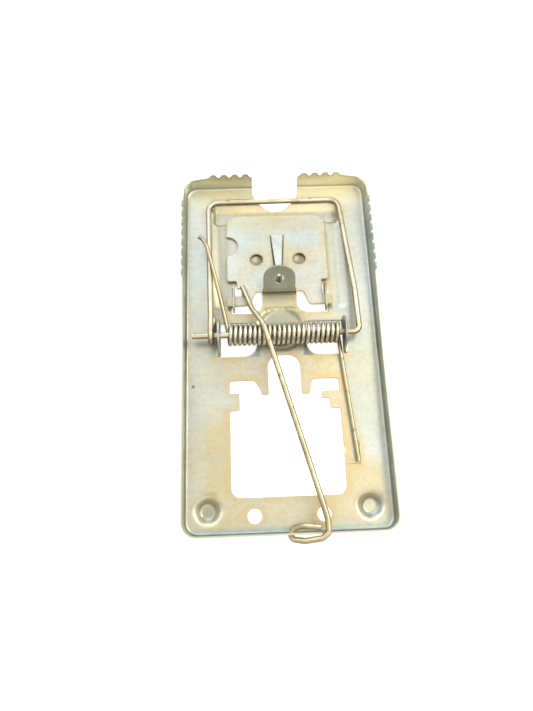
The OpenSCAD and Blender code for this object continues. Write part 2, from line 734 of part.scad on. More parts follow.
// the flat outline of the treadle, in the tray's own places
module treadle_outline() {
    difference() {
        union() {
            panel(treadle_x0, treadle_x1, treadle_y0, treadle_y1, treadle_r);
            translate([treadle_x0, treadle_y0]) square([treadle_x1 - treadle_x0, 1.5 * treadle_r]);
            polygon([[-waist_left, treadle_y0 + treadle_r / 2], [-waist_left, catch_y], [-catch_x, catch_y],
                [-catch_x, pivot_y + tab_w / 2], [-tab_x, pivot_y + tab_w / 2],
                [-tab_x, pivot_y - tab_w / 2], [-neck_x, pivot_y - tab_w / 2],
                [-neck_in_x, treadle_near - cut_corner], [cut_corner - neck_in_x, treadle_near],
                [-tongue_w / 2, treadle_near], [-tongue_w / 2, tongue_y], [tongue_w / 2, tongue_y],
                [tongue_w / 2, treadle_near], [neck_in_x - cut_corner, treadle_near],
                [neck_in_x, treadle_near - cut_corner], [neck_x, pivot_y - tab_w / 2],
                [tab_x, pivot_y - tab_w / 2], [tab_x, pivot_y + tab_w / 2],
                [waist_right, pivot_y + tab_w / 2], [waist_right, treadle_y0 + treadle_r / 2]]);
        }
        translate([treadle_x0 + 0.2, notch_y]) circle(notch_r);
        for (s = [-1, 1]) translate([s * hole_x, hole_y]) circle(hole_r);
        spike_outline(spike_gap);
    }
}

module spike_outline(g)
    polygon([[-spike_w / 2 - g, spike_y], [-spike_mid_w / 2 - g, spike_y - spike_l * 0.7],
        [-spike_tip_w / 2 - g, spike_y - spike_l + spike_tip_l - g / 2], [0, spike_y - spike_l - g],
        [spike_tip_w / 2 + g, spike_y - spike_l + spike_tip_l - g / 2],
        [spike_mid_w / 2 + g, spike_y - spike_l * 0.7],
        [spike_w / 2 + g, spike_y]]);

// a bend of the sheet about a line across the tray
module bend_x(r, start, turn, w)
    rotate([90, 0, 90]) rotate([0, 0, start]) rotate_extrude(angle = turn)
        translate([r, -w / 2]) square([sheet_t, w]);

module tongue()
    translate([0, tongue_y, sheet_t / 2 + tongue_fold]) {
        bend_x(tongue_fold, 90 + tongue_lean, 180 - tongue_lean, tongue_w);
        rotate([tongue_lean, 0, 0]) translate([0, 0, tongue_fold]) linear_extrude(sheet_t)
            difference() {
                union() {
                    translate([-tongue_w / 2, 0]) square([tongue_w, tongue_l - tongue_r]);
                    panel(-tongue_w / 2, tongue_w / 2, 0, tongue_l, tongue_r);
                }
                translate([0, bait_hole_l]) circle(bait_hole_r);
            }
    }

module spike()
    translate([0, spike_y, sheet_t / 2 + tongue_fold]) {
        bend_x(tongue_fold, 270 - spike_rise, spike_rise, spike_w);
        rotate([-spike_rise, 0, 0]) translate([0, -spike_y, -tongue_fold - sheet_t])
            linear_extrude(sheet_t) spike_outline(0);
    }

module treadle()
    color([0.6, 0.6, 0.47]) translate([0, pivot_y + tray_shift, pivot_z]) rotate([-treadle_tilt, 0, 0])
        translate([0, -pivot_y, 0]) {
            translate([0, 0, -sheet_t / 2]) linear_extrude(sheet_t) treadle_outline();
            tongue();
            spike();
        }

// the eye of the lock wire goes round its turning line: angles in degrees and shares of its width
eye_angles = [90, 135, 180, 225, 270, 315, 360, 383];
eye_places = lock_eye_x * [1, 0.92, 0.52, 0.1, -0.02, 0.1, 0.4, 0.84];
lock_path = concat(
    [[wire_end_x, wire_end_y, pivot_z + wire_end_z],
        [dip_x, axle_y + dip_y, axle_z + dip_z],
        [knee_x, axle_y + knee_y, axle_z + knee_z],
        [run_x, lock_y + run_y, rim_z + run_z],
        [neck_wire_x, lock_y + neck_wire_y, rim_z + neck_wire_z]],
    [for (i = [0 : len(eye_angles) - 1]) [eye_places[i],
        lock_y + lock_eye_r * cos(eye_angles[i]), lock_z + lock_eye_r * sin(eye_angles[i])]]);
lock_bends = concat([0, slight_r / 5, slight_r / 5, slight_r, slight_r / 3],
    [for (a = eye_angles) lock_bend]);

module lock_wire()
    color([0.73, 0.62, 0.36]) translate([0, tray_shift, 0]) wire(lock_path, lock_bends, lock_d);

tray();
torsion_spring();
striker();
treadle();
lock_wire();
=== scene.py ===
import math

import bpy
import numpy as np
from mathutils import Matrix, Vector, geometry, kdtree, noise


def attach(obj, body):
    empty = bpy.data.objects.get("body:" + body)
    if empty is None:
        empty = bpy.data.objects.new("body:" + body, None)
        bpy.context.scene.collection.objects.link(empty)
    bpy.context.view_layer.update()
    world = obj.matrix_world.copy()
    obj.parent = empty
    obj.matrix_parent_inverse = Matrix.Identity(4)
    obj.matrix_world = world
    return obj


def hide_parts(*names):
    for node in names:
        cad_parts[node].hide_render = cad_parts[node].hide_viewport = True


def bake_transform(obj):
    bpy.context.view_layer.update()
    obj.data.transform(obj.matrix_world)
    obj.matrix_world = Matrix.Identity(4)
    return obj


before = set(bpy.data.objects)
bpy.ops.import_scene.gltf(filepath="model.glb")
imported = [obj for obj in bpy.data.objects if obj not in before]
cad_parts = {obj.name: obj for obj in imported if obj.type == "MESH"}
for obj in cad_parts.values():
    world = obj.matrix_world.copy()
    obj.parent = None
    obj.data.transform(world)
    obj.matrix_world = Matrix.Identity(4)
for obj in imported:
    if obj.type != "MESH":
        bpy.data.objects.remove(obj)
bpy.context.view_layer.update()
print("packed frame loaded:", ", ".join(sorted(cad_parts)))

mm = 0.001
sheetThickness = 0.5    # the steel sheet that tray and treadle are pressed from, in mm
rowShift = 1.15         # the whole trap is set over by this much along Y, in mm


# a web colour as the linear values that a shader works with
def linearColour(webColour):
    parts = [int(webColour[i:i + 2], 16) / 255 for i in (1, 3, 5)]
    return [c / 12.92 if c <= 0.04045 else ((c + 0.055) / 1.055) ** 2.4 for c in parts] + [1.0]


# adds one node with its settings, its fixed values and the links into it
def addNode(tree, kind, settings=None, values=None, links=None):
    node = tree.nodes.new(kind)
    for name, value in (settings or {}).items():
        setattr(node, name, value)
    for key, value in (values or {}).items():
        node.inputs[key].default_value = value
    for key, source in (links or {}).items():
        tree.links.new(source, node.inputs[key])
    return node


# camera, floor and light

cameraView = {
    "place": (-7.12, -48.46, 148.53),            # mm, close over the near end, as the trap was looked down at
    "yaw": 3.43, "pitch": 72.47, "roll": 1.38,   # degrees
    "lens": 28.354, "sensorHeight": 36, "clipStart": 0.001,
}

studio = {
    "floorColour": "#f4f3ef",
    "floorHalf": 2, "floorDrop": 0.00002,   # m, half the floor's side, and how far it lies below the feet
    "floorGlow": 0.7,                       # what the camera sees of the floor on top of its own light
    "skyColour": "#f6f8ff", "skyStrength": 0.74,
    "lowSky": 0.35, "fullSkyFrom": 0.75,    # the sky's share at the horizon, and the height where it is full
    # soft bright panels in the sky: the way to each, its reach as cosines, colour and strength
    "panels": {
        "window": {"way": (-0.15, 0.82, 0.52), "edge": 0.89, "full": 0.98, "colour": "#d4e6ff",
                   "strength": 1.8},
        "behind": {"way": (0.2, -0.45, 0.86), "edge": 0.86, "full": 0.98, "colour": "#fff3d6",
                   "strength": 0.95},
    },
    "lamps": {
        "key": {"place": (0.3, 0.12, 0.42), "size": 0.3, "power": 1.2, "colour": "#fff6e6"},
        "fill": {"place": (-0.3, 0.2, 0.42), "size": 0.45, "power": 0.6, "colour": "#eef4ff"},
    },
}

yaw, pitch, roll = (math.radians(cameraView[angle]) for angle in ("yaw", "pitch", "roll"))
forward = Vector((math.sin(yaw) * math.cos(pitch), math.cos(yaw) * math.cos(pitch), -math.sin(pitch)))
level = Vector((math.cos(yaw), -math.sin(yaw), 0))
upward = level.cross(forward)
cameraRight = level * math.cos(roll) + upward * math.sin(roll)
cameraUp = upward * math.cos(roll) - level * math.sin(roll)

cameraData = bpy.data.cameras.new("tableCamera")
cameraData.sensor_fit = "VERTICAL"
cameraData.sensor_height = cameraView["sensorHeight"]
cameraData.lens = cameraView["lens"]
cameraData.clip_start = cameraView["clipStart"]
camera = bpy.data.objects.new("tableCamera", cameraData)
camera.matrix_world = Matrix.Translation(Vector(cameraView["place"]) * mm) @ Matrix(
    (cameraRight, cameraUp, -forward)).transposed().to_4x4()
bpy.context.collection.objects.link(camera)
bpy.context.scene.camera = camera
bpy.context.scene.view_settings.view_transform = "Standard"

for lampName, lampLook in studio["lamps"].items():
    lampData = bpy.data.lights.new(lampName + "Lamp", "AREA")
    lampData.size = lampLook["size"]
    lampData.energy = lampLook["power"]
    lampData.color = linearColour(lampLook["colour"])[:3]
    lamp = bpy.data.objects.new(lampName + "Lamp", lampData)
    lamp.location = lampLook["place"]
    lamp.rotation_euler = (-Vector(lampLook["place"])).to_track_quat("-Z", "Y").to_euler()
    bpy.context.collection.objects.link(lamp)

world = bpy.data.worlds.new("softStudio")
bpy.context.scene.world = world
world.use_nodes = True
sky = world.node_tree
sky.nodes.clear()
lookedAt = addNode(sky, "ShaderNodeTexCoord").outputs["Generated"]
height = addNode(sky, "ShaderNodeSeparateXYZ", links={0: lookedAt}).outputs["Z"]
skyRise = addNode(sky, "ShaderNodeMapRange", {"interpolation_type": "SMOOTHSTEP"}, {
    "From Min": 0.0, "From Max": studio["fullSkyFrom"], "To Min": studio["skyStrength"] * studio["lowSky"],
    "To Max": studio["skyStrength"]}, {"Value": height})
soft = addNode(sky, "ShaderNodeBackground", values={"Color": linearColour(studio["skyColour"])},
               links={"Strength": skyRise.outputs[0]})
for panel in studio["panels"].values():
    towards = addNode(sky, "ShaderNodeVectorMath", {"operation": "DOT_PRODUCT"},
                      {1: Vector(panel["way"]).normalized()}, {0: lookedAt})
    panelShare = addNode(sky, "ShaderNodeMapRange", {"interpolation_type": "SMOOTHSTEP"}, {
        "From Min": panel["edge"], "From Max": panel["full"], "To Min": 0.0, "To Max": panel["strength"]},
        {"Value": towards.outputs["Value"]})
    panelLight = addNode(sky, "ShaderNodeBackground", values={"Color": linearColour(panel["colour"])},
                         links={"Strength": panelShare.outputs[0]})
    soft = addNode(sky, "ShaderNodeAddShader", links={0: soft.outputs[0], 1: panelLight.outputs[0]})
white = addNode(sky, "ShaderNodeBackground", values={"Color": (1, 1, 1, 1), "Strength": 1.0})
ray = addNode(sky, "ShaderNodeLightPath")
skyMix = addNode(sky, "ShaderNodeMixShader",
                 links={0: ray.outputs["Is Camera Ray"], 1: soft.outputs[0], 2: white.outputs[0]})
addNode(sky, "ShaderNodeOutputWorld", links={"Surface": skyMix.outputs[0]})

floorHalf, floorDrop = studio["floorHalf"], studio["floorDrop"]
floorMesh = bpy.data.meshes.new("paleFloor")
floorMesh.from_pydata([(floorHalf * sx, floorHalf * sy, -floorDrop)
                       for sx, sy in ((-1, -1), (1, -1), (1, 1), (-1, 1))], [], [(0, 1, 2, 3)])
paleFloor = bpy.data.objects.new("paleFloor", floorMesh)
bpy.context.collection.objects.link(paleFloor)
floorPaint = bpy.data.materials.new("matt pale backdrop paper")
floorPaint.use_nodes = True
floorTree = floorPaint.node_tree
floorTree.nodes.clear()
floorRay = addNode(floorTree, "ShaderNodeLightPath")
glowShare = addNode(floorTree, "ShaderNodeMath", {"operation": "MULTIPLY"}, {1: studio["floorGlow"]},
                    {0: floorRay.outputs["Is Camera Ray"]})
paper = addNode(floorTree, "ShaderNodeBsdfDiffuse", values={"Color": linearColour(studio["floorColour"])})
glow = addNode(floorTree, "ShaderNodeEmission", values={"Color": (1, 1, 1, 1)},
               links={"Strength": glowShare.outputs[0]})
floorSum = addNode(floorTree, "ShaderNodeAddShader", links={0: paper.outputs[0], 1: glow.outputs[0]})
addNode(floorTree, "ShaderNodeOutputMaterial", links={"Surface": floorSum.outputs[0]})
floorMesh.materials.append(floorPaint)
print("camera, lamps and floor set")


# finishes

# Zinc-plated steel sheet with a yellow passivation, handled and kept in a shed for years: soft shine,
# pale grey green where the plating is whole, straw clouds, orange straw stains along the punched edges.
trayFinish = {
    "name": "zinc-plated steel sheet, yellowed",
    # Besides the sheet's own colours these tones hold painted light: the grey green is painted shade on
    # walls, uprights and the tongue, the brown is dirt, rust and painted shade, the grey blue is also bluish
    # painted reflection, and the pale cream is painted highlight.
    "base": "#e1e3d4", "straw": "#e2d2a0", "cool": "#b4c5bf", "olive": "#a9a27e", "stain": "#dcbf78",
    "under": "#8f9d96", "brown": "#7f6a45", "cut": "#fdf6d2",
    # each pattern's size in mm, detail and roughness. The rolled one gives the faint lines across the sheet
    # that the rolling mill leaves, drawn wider than they are, so that they show.
    "patterns": {"cloud": (17, 5, 0.62), "patch": (6.5, 6, 0.7), "grain": (1.1, 0, 0.5),
                 "rolled": (0.7, 1, 0.5)},
    "stretched": {"rolled": (0.07, 1, 1)},
    "attributes": ("edgeWay", "wallShade", "dirtAndShade", "straw", "cool", "paintedHighlight"),
    # what each ramp reads, how it rises, between which values, and what comes out of it
    "ramps": {
        "strawClouds": ("cloud", "SMOOTHSTEP", 0.42, 0.68, 0, 0.45),
        "broken": ("patch", "LINEAR", 0.3, 0.7, 0.65, 1.25),
        "oliveMask": ("patch", "SMOOTHSTEP", 0.5, 0.74, 0, 0.24),
        "rollMask": ("rolled", "LINEAR", 0.42, 0.75, 0, 0.17),
        "mottle": ("grain", "LINEAR", 0.45, 0.75, 0, 0.14),
        "rough": ("patch", "LINEAR", 0.3, 0.7, 0.285, 0.42),
    },
    # the tones over the base, the lowest first: where each lies, and which it is
    "layers": [("handled", "straw"), ("oliveMask", "olive"), ("rollMask", "cool"), ("coolShare", "cool"),
               ("mottle", "olive"), ("wallMask", "under"), ("stainMask", "stain"), ("dirtAndShade", "brown"),
               ("pitMask", "brown"), ("paintedHighlight", "cut")],
    # how dark the painted shade on the walls gets
    "wallShadeShare": 0.85,
    "stainReach": 2.4, "stainSwing": 2.4, "stainBack": 0.7, "stainFade": (-1.6, 2.2), "stainShare": 0.7,
    # where a spot of rust has eaten in, mm
    "pit": (-24.4, -10.4, 1.8), "pitCore": 0.336, "pitEdge": 0.546, "pitShare": 0.85,
    "metal": 0.72, "bumpFrom": "grain", "bump": 0.04, "bumpDepth": 0.05,
}
treadleFinish = dict(
    trayFinish, name="zinc-plated steel sheet, paler treadle", base="#e3e8da", straw="#e0cf9f",
    under="#929c87", stainReach=1.0, stainShare=0.35,
    ramps=dict(trayFinish["ramps"], strawClouds=("cloud", "SMOOTHSTEP", 0.42, 0.68, 0, 0.5)))

# Plated spring steel wire: drawn and bent, cream to brass, brown where fingers and moisture have gone
# through the plating. Painted shade darkens its flanks and underside, and on the spring the gaps between
# turns.
strikerFinish = {
    "name": "zinc-plated steel wire, yellowed, painted shade",
    "base": "#efe5c8", "brass": "#d9c79c", "brown": "#8f7750", "wireShade": "#4e3c2a",
    "patterns": {"cloud": (8, 4, 0.6), "spot": (2.4, 5, 0.72)}, "stretched": {},
    "attributes": ("wireShade",),
    "ramps": {
        "brassMask": ("cloud", "SMOOTHSTEP", 0.42, 0.66, 0, 0.9),
        "spotMask": ("spot", "SMOOTHSTEP", 0.56, 0.71, 0, 0.8),
        "rough": ("spot", "LINEAR", 0.3, 0.7, 0.285, 0.38),
    },
    "layers": [("brassMask", "brass"), ("spotMask", "brown"), ("wireShade", "wireShade")],
    "metal": 0.9, "bumpFrom": "spot", "bump": 0.2, "bumpDepth": 0.04,
}
lockFinish = dict(strikerFinish, name="zinc-plated lock wire, painted shade", base="#e8dab2", brass="#cdb687",
                  wireShade="#4a3c26")
# the spring's arms have yellowed more than its coil
springFinish = dict(
    strikerFinish, name="spring steel wire, greyed, painted shade", base="#f1e8cc", brass="#d9c795", brown="#84714f",
    wireShade="#3d3a30", arms="#c4b48c", metal=0.95, attributes=("wireShade", "turnNumber"),
    ramps={
        "brassMask": ("cloud", "SMOOTHSTEP", 0.48, 0.69, 0, 0.9),
        "spotMask": ("spot", "SMOOTHSTEP", 0.568, 0.716, 0, 0.8),
        "armMask": ("turnNumber", "LINEAR", -0.5, -1.0, 0, 0.8),
        "rough": ("spot", "LINEAR", 0.3, 0.7, 0.28, 0.34),
    },
    layers=[("brassMask", "brass"), ("armMask", "arms"), ("spotMask", "brown"), ("wireShade", "wireShade")])


# opens a material with the patterns, attributes and ramps that its look names
def startFinish(look):
    material = bpy.data.materials.new(look["name"])
    material.use_nodes = True
    tree = material.node_tree
    tree.nodes.clear()
    place = addNode(tree, "ShaderNodeTexCoord").outputs["Object"]
    fields = {"place": place}
    for name, (size, detail, roughness) in look["patterns"].items():
        at = place
        if name in look["stretched"]:
            at = addNode(tree, "ShaderNodeMapping", values={"Scale": look["stretched"][name]},
                         links={"Vector": place}).outputs[0]
        fields[name] = addNode(tree, "ShaderNodeTexNoise", values={
            "Scale": 1 / (size * mm), "Detail": detail, "Roughness": roughness},
            links={"Vector": at}).outputs["Fac"]
    for name in look["attributes"]:
        fields[name] = addNode(tree, "ShaderNodeAttribute", {"attribute_name": name}).outputs["Fac"]
    for name, (source, rise, low, high, least, most) in look["ramps"].items():
        fields[name] = addNode(tree, "ShaderNodeMapRange", {"interpolation_type": rise}, {
            "From Min": low, "From Max": high, "To Min": least, "To Max": most},
            {"Value": fields[source]}).outputs[0]
    return material, tree, fields


# lays the tones over the base one by one and closes the material
def endFinish(look, tree, fields):
    below = None
    for share, tone in look["layers"]:
        mix = addNode(tree, "ShaderNodeMix", {"data_type": "RGBA"}, {
            6: linearColour(look["base"]), 7: linearColour(look[tone])}, {0: fields[share]})
        if below is not None:
            tree.links.new(below, mix.inputs[6])
        below = mix.outputs[2]
    bump = addNode(tree, "ShaderNodeBump", values={
        "Strength": look["bump"], "Distance": look["bumpDepth"] * mm},
        links={"Height": fields[look["bumpFrom"]]})
    shader = addNode(tree, "ShaderNodeBsdfPrincipled", values={"Metallic": look["metal"]}, links={
        "Base Color": below, "Roughness": fields["rough"], "Normal": bump.outputs[0]})
    addNode(tree, "ShaderNodeOutputMaterial", links={"Surface": shader.outputs[0]})


def makeSheetFinish(look):
    material, tree, fields = startFinish(look)
    # straw comes in clouds, most where the tray has been handled and rubbed
    handled = addNode(tree, "ShaderNodeMath", {"operation": "MULTIPLY_ADD", "use_clamp": True}, links={
        0: fields["straw"], 1: fields["broken"], 2: fields["strawClouds"]})
    # grey blue where the plating is cool and where a bluish painted reflection lies
    coolShare = addNode(tree, "ShaderNodeMath", {"operation": "MULTIPLY", "use_clamp": True}, links={
        0: fields["cool"], 1: fields["broken"]})
    # painted shade on the walls, the uprights and the treadle's tongue, broken up by the patches
    wallShadeBroken = addNode(tree, "ShaderNodeMath", {"operation": "MULTIPLY"}, links={
        0: fields["wallShade"], 1: fields["broken"]})
    wallMask = addNode(tree, "ShaderNodeMath", {"operation": "MULTIPLY", "use_clamp": True}, {
        1: look["wallShadeShare"]}, {0: wallShadeBroken.outputs[0]})
    # the stain creeps in from the cut edges, its front broken up by the patches
    stainFront = addNode(tree, "ShaderNodeMath", {"operation": "MULTIPLY_ADD"}, {
        1: look["stainReach"] * look["stainSwing"], 2: -look["stainReach"] * look["stainBack"]},
        {0: fields["patch"]})
    stainDepth = addNode(tree, "ShaderNodeMath", {"operation": "SUBTRACT"}, links={
        0: stainFront.outputs[0], 1: fields["edgeWay"]})
    stainMask = addNode(tree, "ShaderNodeMapRange", {"interpolation_type": "SMOOTHSTEP"}, {
        "From Min": look["stainFade"][0], "From Max": look["stainFade"][1], "To Min": 0.0,
        "To Max": look["stainShare"]}, {"Value": stainDepth.outputs[0]})
    pitWay = addNode(tree, "ShaderNodeVectorMath", {"operation": "DISTANCE"}, {1: Vector(look["pit"]) * mm},
                     {0: fields["place"]})
    pitMask = addNode(tree, "ShaderNodeMapRange", values={
        "From Min": look["pitCore"] * mm, "From Max": look["pitEdge"] * mm, "To Min": look["pitShare"],
        "To Max": 0.0}, links={"Value": pitWay.outputs["Value"]})
    fields.update(handled=handled.outputs[0], coolShare=coolShare.outputs[0], wallMask=wallMask.outputs[0],
                  stainMask=stainMask.outputs[0], pitMask=pitMask.outputs[0])
    endFinish(look, tree, fields)
    return material


def makeWireFinish(look):
    material, tree, fields = startFinish(look)
    endFinish(look, tree, fields)
    return material


print("finishes made")


# sheet metal from its flat pattern

patternMesh = {
    "rimStep": 0.8, "rowStep": 0.87,      # shares of the mesh step: along the cuts, and from row to row
    "offFolds": 0.6, "offRims": 0.42,     # and how far the plain grid keeps away from folds and rims
    "edgeBreak": 0.06, "sharpAngle": 32,  # mm, degrees
    "cutOnFace": 0.5, "cutInside": 0.3,   # how strong the painted highlight is on the upper face at the cut, and on the cut's upper side
}


# a closed outline from its corners, each (x, y) or (x, y, radius)
def roundCorners(corners, step=0.3):
    points = []
    for i, corner in enumerate(corners):
        here = Vector(corner[:2])
        radius = corner[2] if len(corner) > 2 else 0
        if radius == 0:
            points.append(tuple(here))
            continue
        back = (Vector(corners[i - 1][:2]) - here).normalized()
        onward = (Vector(corners[(i + 1) % len(corners)][:2]) - here).normalized()
        half = back.angle(onward) / 2
        centre = here + (back + onward).normalized() * (radius / math.sin(half))
        first = here + back * (radius / math.tan(half)) - centre
        last = here + onward * (radius / math.tan(half)) - centre
        start = math.atan2(first.y, first.x)
        sweep = (math.atan2(last.y, last.x) - start + math.pi) % (2 * math.pi) - math.pi
        count = max(3, math.ceil(radius * abs(sweep) / step))
        for k in range(count + 1):
            angle = start + sweep * k / count
            points.append((centre.x + radius * math.cos(angle), centre.y + radius * math.sin(angle)))
    return points


def circleOutline(x, y, radius, count):
    return [(x + radius * math.cos(2 * math.pi * k / count), y + radius * math.sin(2 * math.pi * k / count))
            for k in range(count)]


# the same outline with no side longer than step, and without doubled points
def fineOutline(points, step):
    fine = []
    for i, (x0, y0) in enumerate(points):
        x1, y1 = points[(i + 1) % len(points)]
        length = math.hypot(x1 - x0, y1 - y0)
        if length < 1e-4:
            continue
        count = max(1, math.ceil(length / step))
        fine += [(x0 + (x1 - x0) * k / count, y0 + (y1 - y0) * k / count) for k in range(count)]
    return np.array(fine)


def insideOutlines(points, starts, ends):
    inside = np.zeros(len(points), bool)
    x, y = points[:, 0], points[:, 1]
    for (x0, y0), (x1, y1) in zip(starts, ends):
        if y0 != y1:
            crosses = (y0 > y) != (y1 > y)
            inside ^= crosses & (x < (x1 - x0) * (y - y0) / (y1 - y0) + x0)
    return inside


# the way from each flat point to the nearest of some others
def waysTo(others, points):
    tree = kdtree.KDTree(len(others))
    for i, (x, y) in enumerate(others):
        tree.insert((x, y, 0), i)
    tree.balance()
    return np.array([tree.find((x, y, 0))[2] for x, y in points])


# Meshes a flat pattern (first loop the outline, the others holes), bends it with placeAt and gives it the
# sheet's thickness with slightly broken edges. toneAt returns the attributes that the finish reads.
def sheetFromPattern(name, loops, placeAt, toneAt, spacing, extraPoints):
    rings = []
    for i, loop in enumerate(loops):
        ring = fineOutline(loop, spacing * patternMesh["rimStep"])
        following = np.roll(ring, -1, axis=0)
        area = (ring[:, 0] * following[:, 1] - following[:, 0] * ring[:, 1]).sum()
        rings.append(ring if (area > 0) == (i == 0) else ring[::-1])
    rim = np.vstack(rings)
    firsts = np.cumsum([0] + [len(r) for r in rings])
    onward = np.concatenate([np.roll(np.arange(len(r)), -1) + f for r, f in zip(rings, firsts)])
    before = np.concatenate([np.roll(np.arange(len(r)), 1) + f for r, f in zip(rings, firsts)])

    low, high = rim.min(0), rim.max(0)
    columns = np.arange(low[0], high[0], spacing)
    rows = np.arange(low[1], high[1], spacing * patternMesh["rowStep"])
    grid = np.array([(x + (r % 2) * spacing / 2, y) for r, y in enumerate(rows) for x in columns])
    extra = np.array(extraPoints)
    grid = np.vstack([grid[waysTo(extra, grid) > spacing * patternMesh["offFolds"]], extra])
    grid = grid[insideOutlines(grid, rim, rim[onward])]
    grid = grid[waysTo(rim, grid) > spacing * patternMesh["offRims"]]

    flat = np.vstack([rim, grid])
    result = geometry.delaunay_2d_cdt(
        [Vector(p) for p in flat], [(int(i), int(j)) for i, j in enumerate(onward)], [], 0, 1e-6, True)
    original = [ids[0] if ids else -1 for ids in result[3]]
    corners = np.array([[original[i] for i in face] for face in result[2] if len(face) == 3])
    allRim = (corners < len(rim)).all(1)
    keep = ~allRim
    keep[allRim] = insideOutlines(flat[corners[allRim]].mean(1), rim, rim[onward])
    corners = corners[keep]
    a, b, c = flat[corners[:, 0]], flat[corners[:, 1]], flat[corners[:, 2]]
    turned = (b[:, 0] - a[:, 0]) * (c[:, 1] - a[:, 1]) - (b[:, 1] - a[:, 1]) * (c[:, 0] - a[:, 0]) < 0
    corners[turned] = corners[turned][:, ::-1]

    # the broken edge: top and bottom stop a little short of the cut
    edgeBreak = patternMesh["edgeBreak"]
    ahead, behind = rim[onward] - rim, rim - rim[before]
    lead = ahead / np.linalg.norm(ahead, axis=1)[:, None] + behind / np.linalg.norm(behind, axis=1)[:, None]
    lead /= np.maximum(np.linalg.norm(lead, axis=1), 1e-6)[:, None]
    short = flat.copy()
    short[:len(rim)] += np.stack([-lead[:, 1], lead[:, 0]], 1) * edgeBreak
    half = sheetThickness / 2
    places, ups = placeAt(short)
    rimPlaces, rimUps = placeAt(rim)
    vertices = np.vstack([places + ups * half, places - ups * half,
                          rimPlaces + rimUps * (half - edgeBreak), rimPlaces - rimUps * (half - edgeBreak)])
    total, rimCount = len(flat), len(rim)
    faces = [tuple(f) for f in corners.tolist()]
    faces += [(f[2] + total, f[1] + total, f[0] + total) for f in corners.tolist()]
    upper, lower = 2 * total, 2 * total + rimCount
    for i, j in enumerate(onward.tolist()):
        faces.append((j, i, i + upper, j + upper))
        faces.append((j + upper, i + upper, i + lower, j + lower))
        faces.append((j + lower, i + lower, i + total, j + total))

    mesh = bpy.data.meshes.new(name)
    mesh.from_pydata((vertices * mm).tolist(), [], faces)
    for toneName, values in toneAt(flat, waysTo(rim, flat), rings).items():
        # the painted highlight of a cut is strong along its outer side only
        onFace, onUpperRim = values.copy(), values[:rimCount]
        if toneName == "paintedHighlight":
            onFace[:rimCount] *= patternMesh["cutOnFace"]
            onUpperRim = onUpperRim * patternMesh["cutInside"]
        tone = mesh.attributes.new(toneName, "FLOAT", "POINT")
        tone.data.foreach_set("value", np.concatenate([onFace, values, onUpperRim, values[:rimCount]]))
    mesh.shade_smooth()
    mesh.set_sharp_from_angle(angle=math.radians(patternMesh["sharpAngle"]))
    mesh.validate()
    piece = bpy.data.objects.new(name, mesh)
    bpy.context.collection.objects.link(piece)
    return piece


# a ramp from 0 to 1 whose ends are a little less soft than a smooth step's
def softStep(share):
    share = np.clip(share, 0, 1)
    return 0.3 * share + 0.7 * share * share * (3 - 2 * share)


# soft areas of a tone: each fades out round its own rectangle
def toneOver(flat, areas):
    tone = np.zeros(len(flat))
    for x, y, halfX, halfY, share in areas:
        away = ((flat[:, 0] - x) / halfX) ** 4 + ((flat[:, 1] - y) / halfY) ** 4
        tone = np.maximum(tone, share * np.exp(-0.7 * away))
    return tone


# a soft line of a tone: strongest at one way from something, gone a few widths off
def toneLine(way, share, at, width):
    return share * np.exp(-((way - at) / width) ** 2)


# a cut edge's tone: full at the edge, gone a little over its width away
def toneEdge(way, share, full, width, most=1):
    return share * np.clip(full - way / width, 0, most)


# tray

